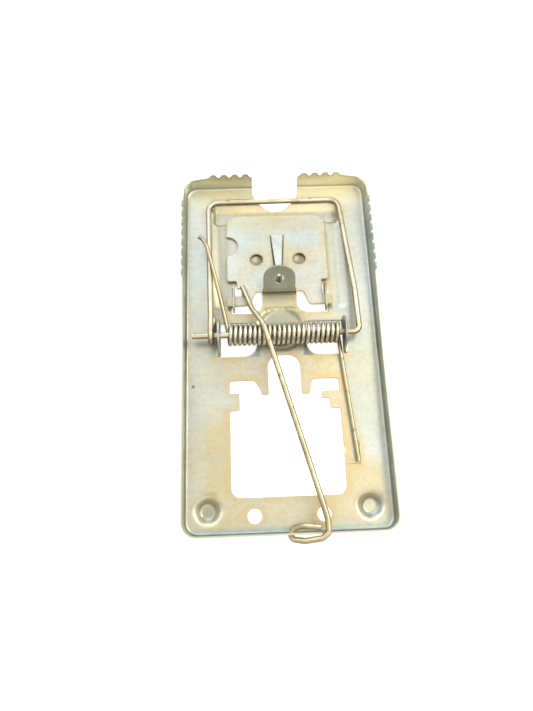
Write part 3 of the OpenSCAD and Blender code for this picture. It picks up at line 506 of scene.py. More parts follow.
tray = {
    "width": 54, "length": 101, "cornerRadius": 4, "foldRadius": 0.8, "tightRadius": 0.5,
    "footHeight": 1.4, "wallHeight": 4.5,
    "toothHeight": 1.5, "toothRadius": 1.0, "biteRise": 0.2, "toothSteps": 16,
    "sidePitch": 3.08, "sideTeeth": 8, "sideStart": 18.8, "farPitch": 3.15, "farTeeth": 4, "farStart": 7.07,
    "gapHalf": 6.75, "gapEnd": 42.4, "gapSteps": 36,
    "groove": {"x": 18.8, "near": 37.2, "far": 44.7, "nearSlope": 1.1, "farSlope": 2.8, "endSlope": 0.8,
               "round": 2.0},
    "pan": {"depth": 0.7, "x": 19.6, "side": 2.8, "near": 9.4, "slope": 2.1},
    "dish": {"y": 4.6, "radius": 6.9, "slope": 1.8, "depth": 0.95},
    "feet": {"x": 20.7, "y": -44.1, "radius": 3.7, "slope": 2.0},
    "nailHoles": {"x": 8.85, "y": -45.7, "radius": 1.9},
    "ear": {"foldX": 17.8, "near": -2.8, "far": 6.2, "axleY": 1.7, "axleZ": 5.2, "top": 9.7, "hole": 0.86,
            "windowX": 6.9, "windowNear": -3.5, "windowFar": 6.3, "windowRadius": 3.4,
            "slitFar": -3.34, "footX": 16.9, "neckX": 16.3, "footWider": 0.6, "footFrom": 15.8},
    "lug": {"foldX": 13.7, "near": 9.4, "foldNear": 11.3, "far": 17.4, "top": 4.8, "level": 0.95,
            "slotY": 12.7, "slotZ": 2.3, "slotHalf": 1.65, "slotHeight": 1.0, "tipRadius": 1.2,
            "windowX": 4.9, "windowNear": 9.1, "windowFar": 18.2, "windowRadius": 3.4},
    "flap": {"x0": 15, "x1": 18.9, "near": -33.5, "far": -27.4, "slit": 0.14, "dip": 2.5, "bend": 0.6},
    "eyeSlot": {"x0": -1.1, "x1": 10.6, "z0": 3.0, "z1": 4.9, "radius": 0.6},
    # rolled sheet is never quite flat: how long and how high its waves are, and their share on the walls
    "waves": {"x": 14, "y": 19, "from": 3.1, "height": 0.05, "onWalls": 0.6},
    # the far walls are pushed out, and their corners drawn down
    "lean": {"far": 0.35, "side": 0.4, "from": -10, "over": 35, "most": 1.4},
    "cornerDip": 0.8, "dipAtEnds": 0.6, "cornerSteps": 14,
    "meshStep": 0.62, "foldRows": (0, 0.17, 0.33, 0.5, 0.67, 0.83, 1, 1.15), "foldStep": 0.6,
    "slopeRows": (0, 0.2, 0.4, 0.6, 0.8, 1), "slopeStep": 0.5, "earFoldStep": 0.45, "pointsPerRadius": 11,
    # where it is handled and rubbed: x, y, half width, half length, share
    "straw": [(-3, -45, 19, 4.5, 0.6), (-16, -46.5, 8, 3.6, 0.9), (-20.5, -33, 6, 12, 0.5),
              (-18.2, -32, 3.6, 13, 0.95), (16.8, -28, 2.6, 14, 0.8), (20, -37, 4.4, 5, 0.6),
              (-14, -8, 9, 5, 0.8), (-21.5, -8, 5, 18, 0.4), (15, -8, 8, 5, 0.45), (0, 9.5, 10, 4.5, 0.9),
              (-14, 47, 9, 3.2, 0.55), (14, 47, 10, 3.2, 0.75), (0, 43, 17, 1.8, 1.0),
              (-20.7, -44.1, 4.6, 4.6, 0.5), (18, 26, 3, 9, 0.3), (0, 4.6, 7, 6, 0.5),
              (-16.6, 26, 2.6, 12, 0.6), (16, 26, 2.4, 12, 0.5)],
    # grey blue patches of the plating, and bluish painted reflections by the side walls, along the near fold
    # and by the groove's near ends
    "cool": [(21, -12, 4.6, 20, 0.5), (-20, 51.2, 9, 1.2, 0.9), (-24, 10, 2.6, 34, 0.3),
             (24, 6, 2.4, 34, 0.2), (-18, 30, 2.2, 12, 0.4), (0, -50.2, 25, 1.5, 1.0), (-18, -2, 5, 12, 0.3),
             (20, 0, 4, 14, 0.5), (-20.7, -44.1, 1.5, 1.5, 0.5), (0, 4.6, 5.4, 5.4, 0.6),
             (-17.5, 36.2, 2.4, 0.9, 0.6), (17.5, 36.2, 2.4, 0.9, 0.4), (-16.5, 26, 3, 12, 0.35),
             (16.5, 26, 3, 12, 0.2)],
    # painted highlights in the brightest yellow: on the groove's far slope and the floor beyond it, two
    # glints seen through the treadle's holes, and on the far wall, so past the flat pattern's fold
    "highlightSpots": [(4, 43.5, 15, 1.3, 0.5), (-6.7, 26.4, 0.75, 0.9, 0.6), (5.4, 26.6, 0.6, 1.1, 0.7),
               (-13, 55, 9.5, 5.4, 0.4), (13, 55, 10, 5.4, 0.95), (15, 46.5, 10, 3, 0.7),
               (-14, 46.5, 8, 3, 0.3)],
    # painted shade: a painted shadow under the treadle and below its tongue, painted shade by the pan's sides
    # and on the left foot, and darker in the dish and the groove
    "dirtAndShade": [(0, 28, 9.5, 9, 0.85), (0, 14.8, 6, 1.8, 0.45), (0, 4.6, 5.6, 5.6, 0.24),
              (-16.5, 28, 3, 12, 0.2), (18.7, 26, 1.1, 11, 0.3), (0, 41, 19, 2.6, 0.07),
              (-20.7, -44.1, 1.5, 1.5, 0.35), (-20.4, -40.3, 1.9, 0.9, 0.3)],
    "lugShade": {"x": 9, "y": 14.5, "offFold": 0.3, "share": 0.85},          # painted shadow behind the right lug
    "treadleShade": {"x": -0.25, "half": 14.75, "near": 19, "far": 40.5},    # below the treadle's edge
    # from a foot's near half with its painted highlight to its far half with painted shade
    "footTurn": {"from": -0.6, "over": 2.2, "ringDull": 0.85, "slopeDull": 0.7},
    "grooveTurn": 2.2, "grooveEnds": 15.5,
    "uprightX": 6, "rightUprightShade": 0.5, "uprightShade": 0.35, "uprightReflection": 0.8, "lugWay": 3,    # on ears and lugs: painted shade on the right ones, painted wall shade and a bluish painted reflection on all
    "farWallFade": {"from": -8, "over": 10, "share": 0.9},    # the far wall is hardly shaded
    "tipRise": 2, "tipDull": 0.9,                             # the tips of the far teeth are brown, and lose most of the rim's painted highlight
    "rimEase": 2.4, "cleanWay": 9, "farthest": 12,            # how far from a cut a stain takes a point to be
}

middle = tray["footHeight"] + sheetThickness / 2                 # height of the sheet's middle on the floor
foldMiddle = tray["foldRadius"] + sheetThickness / 2
tightMiddle = tray["tightRadius"] + sheetThickness / 2
foldWay = foldMiddle * math.pi / 2
tightWay = tightMiddle * math.pi / 2
rimHeight = tray["footHeight"] + sheetThickness + tray["wallHeight"]
rimWay = foldWay + rimHeight - middle - foldMiddle               # from the fold's start to the rim
coreX = tray["width"] / 2 - tray["foldRadius"] - sheetThickness  # where the folds start
coreY = tray["length"] / 2 - tray["foldRadius"] - sheetThickness
coreRadius = tray["cornerRadius"] - tray["foldRadius"] - sheetThickness

# tones that follow a line: their share, how far from it they are strongest, and their width in mm.
# All are painted light: a painted shadow by the treadle's edge, painted shade in the folds, in the feet's
# creases and far halves and along the groove, and a painted highlight ring and bluish painted reflection on
# the feet
tray["lines"] = {
    "treadleEdgeShadow": (0.3, 0, 0.45), "fold": (0.4, foldWay * 0.6, 0.35), "nearFoldShade": (0.5, foldWay * 0.55, 0.5),
    "leftFold": (0.35, foldWay * 0.25, 0.3), "rightFold": (0.15, foldWay * 0.25, 0.3),
    "footCreaseShade": (0.42, 1.6, 0.22), "farSlopeShade": (0.55, 2.2, 0.7), "farRingShade": (0.3, 3.6, 0.7),
    "footRingHighlight": (0.6, 3.5, 0.45), "footSlopeReflection": (0.85, 2.3, 0.65),
    "groove": (0.3, -0.3, 0.35), "grooveEnds": (0.5, -0.3, 0.35),
}
# and those of the cut edges: their share, how full they are at the cut, their width and the most of them.
# The far tips are brown; the rim and the windows get a painted highlight
tray["edges"] = {"farTips": (0.55, 1.3, 0.4), "rim": (0.8, 1.4, 0.45), "windows": (0.8, 1.2, 0.3, 0.5)}


# how deep a pressing is where its four slopes end this far away, with rounded corners
def pressShare(*waysAndSlopes):
    outX, outY = (np.clip(1 - np.minimum.reduce([way / slope for way, slope in pair]), 0, 1)
                  for pair in waysAndSlopes)
    return softStep(1 - np.hypot(outX, outY))


def pressDepth(points):
    x, y = points[:, 0], points[:, 1]
    groove, pan, dish, feet = tray["groove"], tray["pan"], tray["dish"], tray["feet"]
    grooveMiddle = (groove["near"] + groove["far"]) / 2
    past = np.abs(y - grooveMiddle) - (groove["far"] - groove["near"]) / 2 + groove["round"]
    inset = groove["round"] - np.sqrt(groove["round"] ** 2 - np.clip(past, 0, groove["round"]) ** 2)
    grooveShare = pressShare(
        [(groove["x"] - inset - np.abs(x), groove["endSlope"])],
        [(y - groove["near"], groove["nearSlope"]), (groove["far"] - y, groove["farSlope"])])
    panShare = pressShare([(pan["x"] - np.abs(x), pan["side"])], [(y - pan["near"], pan["slope"])])
    dishWay = np.hypot(x, y - dish["y"])
    footWay = np.hypot(np.abs(x) - feet["x"], y - feet["y"])
    return np.maximum.reduce([
        tray["footHeight"] * grooveShare,
        pan["depth"] * panShare * (y < grooveMiddle),
        dish["depth"] * softStep((dish["radius"] - dishWay) / dish["slope"]),
        tray["footHeight"] * softStep((feet["radius"] - footWay) / feet["slope"])])


def trayPlaceAt(points):
    base = np.clip(points, [coreRadius - coreX, coreRadius - coreY], [coreX - coreRadius, coreY - coreRadius])
    away = points - base
    reach = np.linalg.norm(away, axis=1)
    out = away / np.maximum(reach, 1e-9)[:, None]
    beyond = np.maximum(reach - coreRadius, 0)
    turn = np.minimum(beyond / foldMiddle, math.pi / 2)
    rise = np.maximum(beyond - foldWay, 0)
    flatPart = base + out * np.minimum(reach, coreRadius)[:, None]
    places = np.column_stack([flatPart + out * (foldMiddle * np.sin(turn))[:, None],
                              middle + foldMiddle * (1 - np.cos(turn)) + rise])
    ups = np.column_stack([-out * np.sin(turn)[:, None], np.cos(turn)])

    # the far wall and the far half of the side walls lean out a little
    leans = tray["lean"]
    sideLean = leans["side"] * softStep((points[:, 1] - leans["from"]) / leans["over"])
    lean = np.abs(out[:, 0]) * sideLean + np.maximum(out[:, 1], 0) * leans["far"]
    places[:, :2] += out * (lean * np.clip(rise / tray["wallHeight"], 0, leans["most"]))[:, None]

    # the pressings in the floor, and the sheet's way up on their slopes
    onFloor = beyond == 0
    step = 0.02
    depth = pressDepth(points)
    slopeX = (pressDepth(points + [step, 0]) - pressDepth(points - [step, 0])) / (2 * step)
    slopeY = (pressDepth(points + [0, step]) - pressDepth(points - [0, step])) / (2 * step)
    tilted = np.column_stack([slopeX, slopeY, np.ones(len(points))])
    tilted /= np.linalg.norm(tilted, axis=1)[:, None]
    ups[onFloor] = tilted[onFloor]
    places[onFloor, 2] -= depth[onFloor]
    waves = tray["waves"]
    wave = np.array([noise.noise(Vector((x / waves["x"], y / waves["y"], waves["from"]))) for x, y in points])
    lift = np.where(onFloor, 1 - np.clip(depth / tray["footHeight"], 0, 1), waves["onWalls"])
    places += ups * (wave * waves["height"] * lift)[:, None]

    # ears and lugs stand up from their folds, and take the points of their rims with them
    side = np.sign(points[:, 0])
    across = np.abs(points[:, 0])
    for part, low in ((tray["ear"], middle), (tray["lug"], tray["lug"]["level"])):
        tip = tightWay + part["top"] - low - tightMiddle
        wider = part["footWider"] * (across > part["footFrom"]) if "footWider" in part else 0
        mine = (across < part["foldX"]) & (across > part["foldX"] - tip - 0.2)
        mine &= (points[:, 1] > part["near"] - 0.02 - wider) & (points[:, 1] < part["far"] + 0.05)
        way = part["foldX"] - across
        bent = np.minimum(way / tightMiddle, math.pi / 2)
        up = np.maximum(way - tightWay, 0)
        places[mine, 0] = (side * (part["foldX"] - tightMiddle * np.sin(bent)))[mine]
        places[mine, 2] = (low + tightMiddle * (1 - np.cos(bent)) + up)[mine]
        ups[mine] = np.column_stack([side * np.sin(bent), np.zeros(len(points)), np.cos(bent)])[mine]

    # the flap hangs down from its far end
    flap = tray["flap"]
    mine = (points[:, 0] > flap["x0"]) & (points[:, 0] < flap["x1"] + 0.1)
    mine &= (points[:, 1] > flap["near"] - 0.1) & (points[:, 1] < flap["far"])
    way = flap["far"] - points[:, 1]
    places[mine, 2] -= (math.tan(math.radians(flap["dip"])) * way ** 2 / (way + flap["bend"]))[mine]
    places[:, 1] += rowShift
    return places, ups


# height of the toothed rim over the plain rim, at a way along it: round tips, and bites that run into them
def toothRise(along, start, pitch, count):
    if along < start or along > start + pitch * count:
        return 0.0
    tall, tip, low = tray["toothHeight"], tray["toothRadius"], tray["biteRise"]
    bite = (pitch * pitch / 4 + (tall - low) ** 2) / (2 * (tall - low)) - tip
    offset = abs((along - start) / pitch - round((along - start) / pitch)) * pitch
    if offset < pitch / 2 * bite / (bite + tip):
        return low + bite - math.sqrt(bite ** 2 - offset ** 2)
    return tall - tip + math.sqrt(tip ** 2 - (pitch / 2 - offset) ** 2)


def toothRow(start, pitch, count):
    steps = tray["toothSteps"]
    ways = [start] + [start + pitch * (i + 1) / steps for i in range(count * steps)]
    return [(along, toothRise(along, start, pitch, count)) for along in ways]


cornerWay = coreRadius + rimWay
wallX, wallY = coreX + rimWay, coreY + rimWay
straightX, straightY = coreX - coreRadius, coreY - coreRadius    # where the straight walls end
sideRow = toothRow(tray["sideStart"], tray["sidePitch"], tray["sideTeeth"])
farRow = toothRow(tray["farStart"], tray["farPitch"], tray["farTeeth"])


def cornerArc(sx, sy, start):
    arc = []
    turnSteps, atEnds = tray["cornerSteps"], tray["dipAtEnds"]
    for k in range(1, turnSteps):
        angle = start + math.pi / 2 * k / turnSteps
        dipShare = atEnds + (1 - atEnds) * math.sin(math.pi * k / turnSteps)
        way = cornerWay - (sy > 0) * tray["cornerDip"] * dipShare
        arc.append((sx * straightX + way * math.cos(angle), sy * straightY + way * math.sin(angle)))
    return arc


dip = tray["cornerDip"] * tray["dipAtEnds"]
gapHalf, gapEnd, gapSteps = tray["gapHalf"], tray["gapEnd"], tray["gapSteps"]
trayOutline = [(-straightX, -wallY), (straightX, -wallY)] + cornerArc(1, -1, -math.pi / 2)
trayOutline += [(wallX, -straightY)] + [(wallX + rise, along) for along, rise in sideRow]
trayOutline += [(wallX - dip, straightY)] + cornerArc(1, 1, 0)
trayOutline += [(straightX, wallY - dip)] + [(along, wallY + rise) for along, rise in farRow[::-1]]
trayOutline += [(gapHalf, wallY)]
trayOutline += [(gapHalf * math.cos(math.pi * k / gapSteps),
                 gapEnd + gapHalf - gapHalf * math.sin(math.pi * k / gapSteps)) for k in range(gapSteps + 1)]
trayOutline += [(-gapHalf, wallY)] + [(-along, wallY + rise) for along, rise in farRow]
trayOutline += [(-straightX, wallY - dip)] + cornerArc(-1, 1, math.pi / 2)
trayOutline += [(dip - wallX, straightY)] + [(-wallX - rise, along) for along, rise in sideRow[::-1]]
trayOutline += [(-wallX, -straightY)] + cornerArc(-1, -1, math.pi)

window = {
    "x0": -14.6, "x1": 15, "near": -41.1, "line": -18.6, "far": -10.3, "radius": 2.4,
    "leftTab": 2.6, "rightTab": 4.8, "rightStep": 2.8, "tabLength": 4.8, "stepLength": 2.0,
    "archX0": -4.1, "archX1": 4.8, "archFar": -3.3, "archRadius": 3.3,
    "leftProng": 4.1, "rightProng": 3.4, "prongLength": 4.2,
    # the corners of each prong: shares of its width and length, and the corner's radius
    "rightCorners": [(1, 0, 0.5), (0.88, 0.05, 0.6), (0.73, 0.65, 0.6), (0.65, 1, 0.4)],
    "leftCorners": [(0.46, 1, 0.4), (0.54, 0.65, 0.6), (0.88, 0.05, 0.5), (1, 0, 0.3)],
}
flap = tray["flap"]
left, right, line = window["x0"], window["x1"], window["line"]
tabFar = line + window["tabLength"]
tabStep = tabFar - window["stepLength"]
prongNear = window["far"] - window["prongLength"]
flapSide, flapSlit = flap["x1"] + flap["slit"], flap["near"] - flap["slit"]
largeWindow = roundCorners([
    (left, window["near"], window["radius"]), (right, window["near"], window["radius"]),
    (right, flapSlit, 0.15), (flapSide, flapSlit, 0.15), (flapSide, flap["far"], 0.12),
    (flap["x1"], flap["far"], 0.12), (flap["x1"], flap["near"], 0.2), (right, flap["near"], 0.2),
    (right, line, 0.4), (right - window["rightStep"], line, 0.3),
    (right - window["rightStep"], tabStep, 0.25), (right - window["rightTab"], tabStep, 0.25),
    (right - window["rightTab"], tabFar, 0.3),
    (right, tabFar, 0.25), (right, window["far"], 0.5)]
    + [(window["archX1"] + window["rightProng"] * out, window["far"] - window["prongLength"] * down, radius)
       for out, down, radius in window["rightCorners"]]
    + [(window["archX1"], prongNear, 0.4), (window["archX1"], window["archFar"], window["archRadius"]),
       (window["archX0"], window["archFar"], window["archRadius"]), (window["archX0"], prongNear, 0.4)]
    + [(window["archX0"] - window["leftProng"] * out, window["far"] - window["prongLength"] * down, radius)
       for out, down, radius in window["leftCorners"]]
    + [(left, window["far"], 0.5), (left, tabFar, 0.25), (left + window["leftTab"], tabFar, 0.3),
       (left + window["leftTab"], line, 0.3), (left, line, 0.4)])

trayLoops = [trayOutline, largeWindow]
ear, lug, nailHoles = tray["ear"], tray["lug"], tray["nailHoles"]
earCentre = ear["foldX"] - tightWay - (ear["axleZ"] - middle - tightMiddle)
earRadius = ear["top"] - ear["axleZ"]
earArc = [(earCentre - earRadius * math.sin(math.pi * k / 32),
           ear["axleY"] - earRadius * math.cos(math.pi * k / 32)) for k in range(33)]
lugTip = lug["foldX"] - tightWay - (lug["top"] - lug["level"] - tightMiddle)
lugShoulder = lug["foldX"] - tightWay + 0.02
slotX = lug["foldX"] - tightWay - (lug["slotZ"] - lug["level"] - tightMiddle)
slotUp, slotAlong = lug["slotHeight"] / 2, lug["slotHalf"]
# each ear is cut free on three sides and folded up about its outer edge
earWindow = roundCorners(
    [(ear["windowX"], ear["windowNear"], ear["windowRadius"]), (ear["foldX"], ear["windowNear"], 0.05),
     (ear["foldX"], ear["slitFar"], 0.05), (ear["footX"], ear["slitFar"], 0.3),
     (ear["neckX"], ear["near"], 0.3)] + earArc
    + [(ear["foldX"], ear["far"], 0.03), (ear["foldX"], ear["windowFar"], 0.03),
       (ear["windowX"], ear["windowFar"], 0.3)])
lugWindow = roundCorners([
    (lug["windowX"], lug["windowNear"], lug["windowRadius"]), (lug["foldX"], lug["windowNear"], 0.3),
    (lug["foldX"], lug["foldNear"], 0.12), (lugShoulder, lug["foldNear"], 0.1),
    (lugShoulder, lug["near"], 0.3), (lugTip, lug["near"], lug["tipRadius"]),
    (lugTip, lug["far"], lug["tipRadius"]), (lug["foldX"], lug["far"], 0.12),
    (lug["foldX"], lug["windowFar"], 0.2), (lug["windowX"], lug["windowFar"], 0.4)])
lugSlot = roundCorners([
    (slotX - slotUp, lug["slotY"] - slotAlong, 0.12), (slotX + slotUp, lug["slotY"] - slotAlong, 0.12),
    (slotX + slotUp, lug["slotY"] + slotAlong, 0.12), (slotX - slotUp, lug["slotY"] + slotAlong, 0.12)], 0.08)
for side in (1, -1):
    trayLoops.append([(side * x, y) for x, y in earWindow])
    trayLoops.append([(side * x, y) for x, y in circleOutline(earCentre, ear["axleY"], ear["hole"], 22)])
    trayLoops.append([(side * x, y) for x, y in lugWindow])
    trayLoops.append([(side * x, y) for x, y in lugSlot])
    trayLoops.append(circleOutline(side * nailHoles["x"], nailHoles["y"], nailHoles["radius"], 36))
slot = tray["eyeSlot"]
slotNear, slotFar = (-coreY - foldWay - (z - middle - foldMiddle) for z in (slot["z1"], slot["z0"]))
slotCorners = [(slot["x0"], slotNear), (slot["x1"], slotNear), (slot["x1"], slotFar), (slot["x0"], slotFar)]
trayLoops.append(roundCorners([(x, y, slot["radius"]) for x, y in slotCorners], 0.15))

# extra rows of points where the sheet is folded
foldPoints = []
foldStep, slopeStep, both = tray["foldStep"], tray["slopeStep"], (-1, 1)
for share in tray["foldRows"]:
    way = coreRadius + foldWay * share
    alongX = np.arange(-straightX, straightX + 0.01, foldStep)
    alongY = np.arange(-straightY, straightY + 0.01, foldStep)
    foldPoints += [(x, side * (straightY + way)) for x in alongX for side in both]
    foldPoints += [(side * (straightX + way), y) for y in alongY for side in both]
    foldPoints += [(sx * (straightX + way * math.cos(a)), sy * (straightY + way * math.sin(a)))
                   for a in (math.pi / 2 * k / 12 for k in range(1, 12)) for sx in both for sy in both]
# and over the slopes of the pressings
for hollow, sides in ((dict(tray["dish"], x=0), (1,)), (tray["feet"], both)):
    count = hollow["radius"] * tray["pointsPerRadius"]
    for i in range(-1, 7):
        ring = hollow["radius"] - hollow["slope"] * i / 5
        foldPoints += [(side * hollow["x"] + ring * math.cos(2 * math.pi * (k + i % 2 / 2) / count),
                        hollow["y"] + ring * math.sin(2 * math.pi * (k + i % 2 / 2) / count))
                       for k in range(int(count)) for side in sides]
groove, pan = tray["groove"], tray["pan"]
for share in tray["slopeRows"]:
    slopes = (groove["near"] + groove["nearSlope"] * share, groove["far"] - groove["farSlope"] * share)
    foldPoints += [(x, y) for x in np.arange(-groove["x"], groove["x"] + 0.1, slopeStep) for y in slopes]
    foldPoints += [(x, pan["near"] + pan["slope"] * share) for x in np.arange(-pan["x"], pan["x"], slopeStep)]
    foldPoints += [(side * (groove["x"] - groove["endSlope"] * share), y)
                   for y in np.arange(groove["near"] + 1.6, groove["far"] - 3, slopeStep) for side in both]
for part, near in ((ear, ear["near"]), (lug, lug["foldNear"])):
    foldPoints += [(side * (part["foldX"] - tightWay * share), y) for share in tray["slopeRows"]
                   for y in np.arange(near + 0.25, part["far"] - 0.2, tray["earFoldStep"]) for side in both]


def trayToneAt(flat, edgeDistance, rings):
    x, y, wide = flat[:, 0], flat[:, 1], np.abs(flat[:, 0])
    feet, lines, edges = tray["feet"], tray["lines"], tray["edges"]
    beyond = np.maximum(np.maximum(wide - coreX, np.abs(y) - coreY), 0)
    # the plain outer rim stains less than the windows that were punched through the floor
    windowWay = waysTo(np.vstack(rings[1:]), flat)
    edgeWay = np.minimum(windowWay, edgeDistance + tray["rimEase"])
    onEar = (wide < ear["foldX"]) & (wide > tray["uprightX"])
    onEar &= (y > ear["near"] - ear["footWider"]) & (y < ear["far"] + 0.1)
    onLug = (wide < lug["foldX"]) & (wide > tray["uprightX"]) & (y > lug["near"]) & (y < lug["far"])
    upright = onEar | onLug & (windowWay < tray["lugWay"])
    farTips = y > coreY + foldWay + tray["tipRise"]

    shade, lugShade = tray["treadleShade"], tray["lugShade"]
    treadleWay = np.maximum(np.abs(x - shade["x"]) - shade["half"], y - shade["far"])
    behindLug = (x > lugShade["x"]) & (x < lug["foldX"] - lugShade["offFold"])
    behindLug &= (y > lugShade["y"]) & (y < lug["far"])
    sideFold = np.maximum(wide - coreX, 0)
    # painted shade along the side folds, more on the left
    foldShade = np.where(x < 0, toneLine(sideFold, *lines["leftFold"]),
                        toneLine(sideFold, *lines["rightFold"]))
    # painted shade on the far half of each foot and in its crease all round, a painted highlight ring and a
    # bluish painted reflection on the near half
    footWay = np.hypot(wide - feet["x"], y - feet["y"])
    footTurn = tray["footTurn"]
    footFar = softStep((y - feet["y"] - footTurn["from"]) / footTurn["over"])
    footRingHighlight = (1 - footTurn["ringDull"] * footFar) * toneLine(footWay, *lines["footRingHighlight"])
    footSlopeReflection = (1 - footTurn["slopeDull"] * footFar) * toneLine(footWay, *lines["footSlopeReflection"])
    # the way from the groove's outline, whose corners are round, for painted shade along it
    turn = tray["grooveTurn"]
    outX = wide - groove["x"] + turn
    outY = np.abs(y - (groove["near"] + groove["far"]) / 2) - (groove["far"] - groove["near"]) / 2 + turn
    grooveWay = np.hypot(np.maximum(outX, 0), np.maximum(outY, 0)) - turn
    grooveWay += np.minimum(np.maximum(outX, outY), 0)
    grooveShade = np.where(wide > tray["grooveEnds"], toneLine(grooveWay, *lines["grooveEnds"]),
                          toneLine(grooveWay, *lines["groove"]))
    # one tone for dirt and painted shade: painted shadows by the treadle and the right lug, painted shade in
    # the folds, the feet, the groove and on the right uprights, and the brown tips of the far teeth
    dirtAndShade = np.maximum.reduce([
        toneOver(flat, tray["dirtAndShade"]), toneLine(treadleWay, *lines["treadleEdgeShadow"]) * (y > shade["near"]),
        toneLine(beyond, *lines["fold"]) * (beyond > 0), foldShade * (sideFold > 0),
        lugShade["share"] * behindLug, toneLine(footWay, *lines["footCreaseShade"]),
        footFar * toneLine(footWay, *lines["farSlopeShade"]), footFar * toneLine(footWay, *lines["farRingShade"]),
        grooveShade,
        tray["rightUprightShade"] * (upright & (x > tray["uprightX"]) & (y < ear["far"] + 0.1)),
        farTips * toneEdge(edgeDistance, *edges["farTips"])])

    fade = tray["farWallFade"]
    wall = np.clip(beyond / foldWay, 0, 1)
    wall *= 1 - fade["share"] * softStep((y - coreY - fade["from"]) / fade["over"])
    # a painted highlight along the rim's cut edge
    rimHighlight = toneEdge(edgeDistance, *edges["rim"]) * (beyond > foldWay) * (1 - tray["tipDull"] * farTips)
    return {
        "edgeWay": np.where(upright, tray["cleanWay"], np.clip(edgeWay, 0, tray["farthest"])),
        # painted shade on the walls and along the near fold, and a lighter painted shade on the uprights
        "wallShade": np.where(upright, tray["uprightShade"], wall + toneLine(-y - coreY, *lines["nearFoldShade"])),
        "dirtAndShade": dirtAndShade,
        "straw": toneOver(flat, tray["straw"]),
        "cool": np.where(upright, tray["uprightReflection"], np.maximum(toneOver(flat, tray["cool"]), footSlopeReflection)),
        # painted highlights: along the rim and the windows, the feet's rings and the bright spots
        "paintedHighlight": np.maximum.reduce([rimHighlight, toneEdge(windowWay, *edges["windows"]), footRingHighlight,
                                      toneOver(flat, tray["highlightSpots"])])}


trayPiece = sheetFromPattern("tray_sheet", trayLoops, trayPlaceAt, trayToneAt, tray["meshStep"], foldPoints)
trayPiece.data.materials.append(makeSheetFinish(trayFinish))
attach(trayPiece, "tray")
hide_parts("tray")
print("tray:", len(trayPiece.data.polygons), "faces")


# treadle

treadle = {
    "pivotY": 12.7, "pivotZ": 2.3, "tilt": 1.5,
    "x0": -14.8, "x1": 14.3, "near": 19, "far": 40.3, "radius": 3.2,
    "waistLeft": 12.1, "waistRight": 12.2, "catchX": 10.7, "catchY": 16.6, "tongueNear": 15.4,
    "neckX": 8.4, "neckInX": 6.9, "neckSlant": 0.4, "tabWidth": 3.0, "tabX": 14.9,
    "notch": {"x": -14.6, "y": 30.4, "radius": 3.0, "steps": 26},
    "holes": {"x": 6.2, "y": 25.75, "radius": 1.8},
    # the nicks are cut beside the tongue's fold
    "tongue": {"width": 9, "length": 7.3, "radius": 3.9, "fold": 16.2, "inner": 0.4, "lean": 52,
               "hole": 1.4, "holeWay": 3.4, "nick": 0.12, "nickFar": 0.15},
    "spike": {"root": 33.5, "length": 15.6, "width": 3.6, "middle": 1.9, "middleShare": 0.7,
              "tipHalf": 0.6, "tipLength": 0.4, "gap": 0.2, "rise": 12.5},
    "meshStep": 0.5, "foldRows": (0, 0.14, 0.29, 0.43, 0.57, 0.71, 0.86, 1), "foldStep": 0.5,
    "straw": [(0, 37.4, 14, 2.6, 0.85), (-4, 33.6, 5, 2.4, 0.6), (-6.4, 26.4, 4.4, 3.6, 0.6),
              (6.6, 26.4, 4.6, 3.4, 0.7), (2.6, 29.4, 2.6, 2, 0.5), (-11, 22, 2.6, 3, 0.3),
              (13.4, 22, 1.2, 14, 0.5), (-13.5, 12.7, 1.6, 1.8, 0.7), (13.5, 12.7, 1.6, 1.8, 0.7)],
    "cool": [(0, 34.5, 14, 4.5, 0.25), (-8, 33.6, 4.5, 1.6, 0.4), (7.5, 32, 5, 3.4, 0.35),
             (-10.5, 30, 3, 4, 0.3), (0, 21, 11, 3, 0.25), (10.5, 20, 3, 6, 0.2)],
    # painted shade on the upright tongue, dirt round the holes and along the cuts, a painted highlight along
    # the cuts, and a bluish painted reflection on the spike
    "tongueShade": {"share": 0.66, "from": 0.6, "over": 0.3}, "holeDirt": {"share": 0.5, "width": 0.22},
    "edgeDirt": (0.4, 1.2, 0.2), "edgeShine": (0.25, 1.2, 0.3), "spikeReflection": 0.45, "farthest": 12,
}
tongue, spike, notch = treadle["tongue"], treadle["spike"], treadle["notch"]
tongueBend = tongue["inner"] + sheetThickness / 2
tongueTurn = math.radians(180 - tongue["lean"])
tongueWay = tongueBend * tongueTurn
tongueEnd = tongue["fold"] - tongueWay - tongue["length"]
halfTongue = tongue["width"] / 2
nickX, nickFar = halfTongue + tongue["nick"], tongue["fold"] + tongue["nickFar"]
tabNear, tabEnd = treadle["pivotY"] - treadle["tabWidth"] / 2, treadle["pivotY"] + treadle["tabWidth"] / 2
tabX, neckX, neckInX, catchX = (treadle[name] for name in ("tabX", "neckX", "neckInX", "catchX"))
waistLeft, waistRight = treadle["waistLeft"], treadle["waistRight"]
tongueNear, neckNear = treadle["tongueNear"], treadle["tongueNear"] - treadle["neckSlant"]
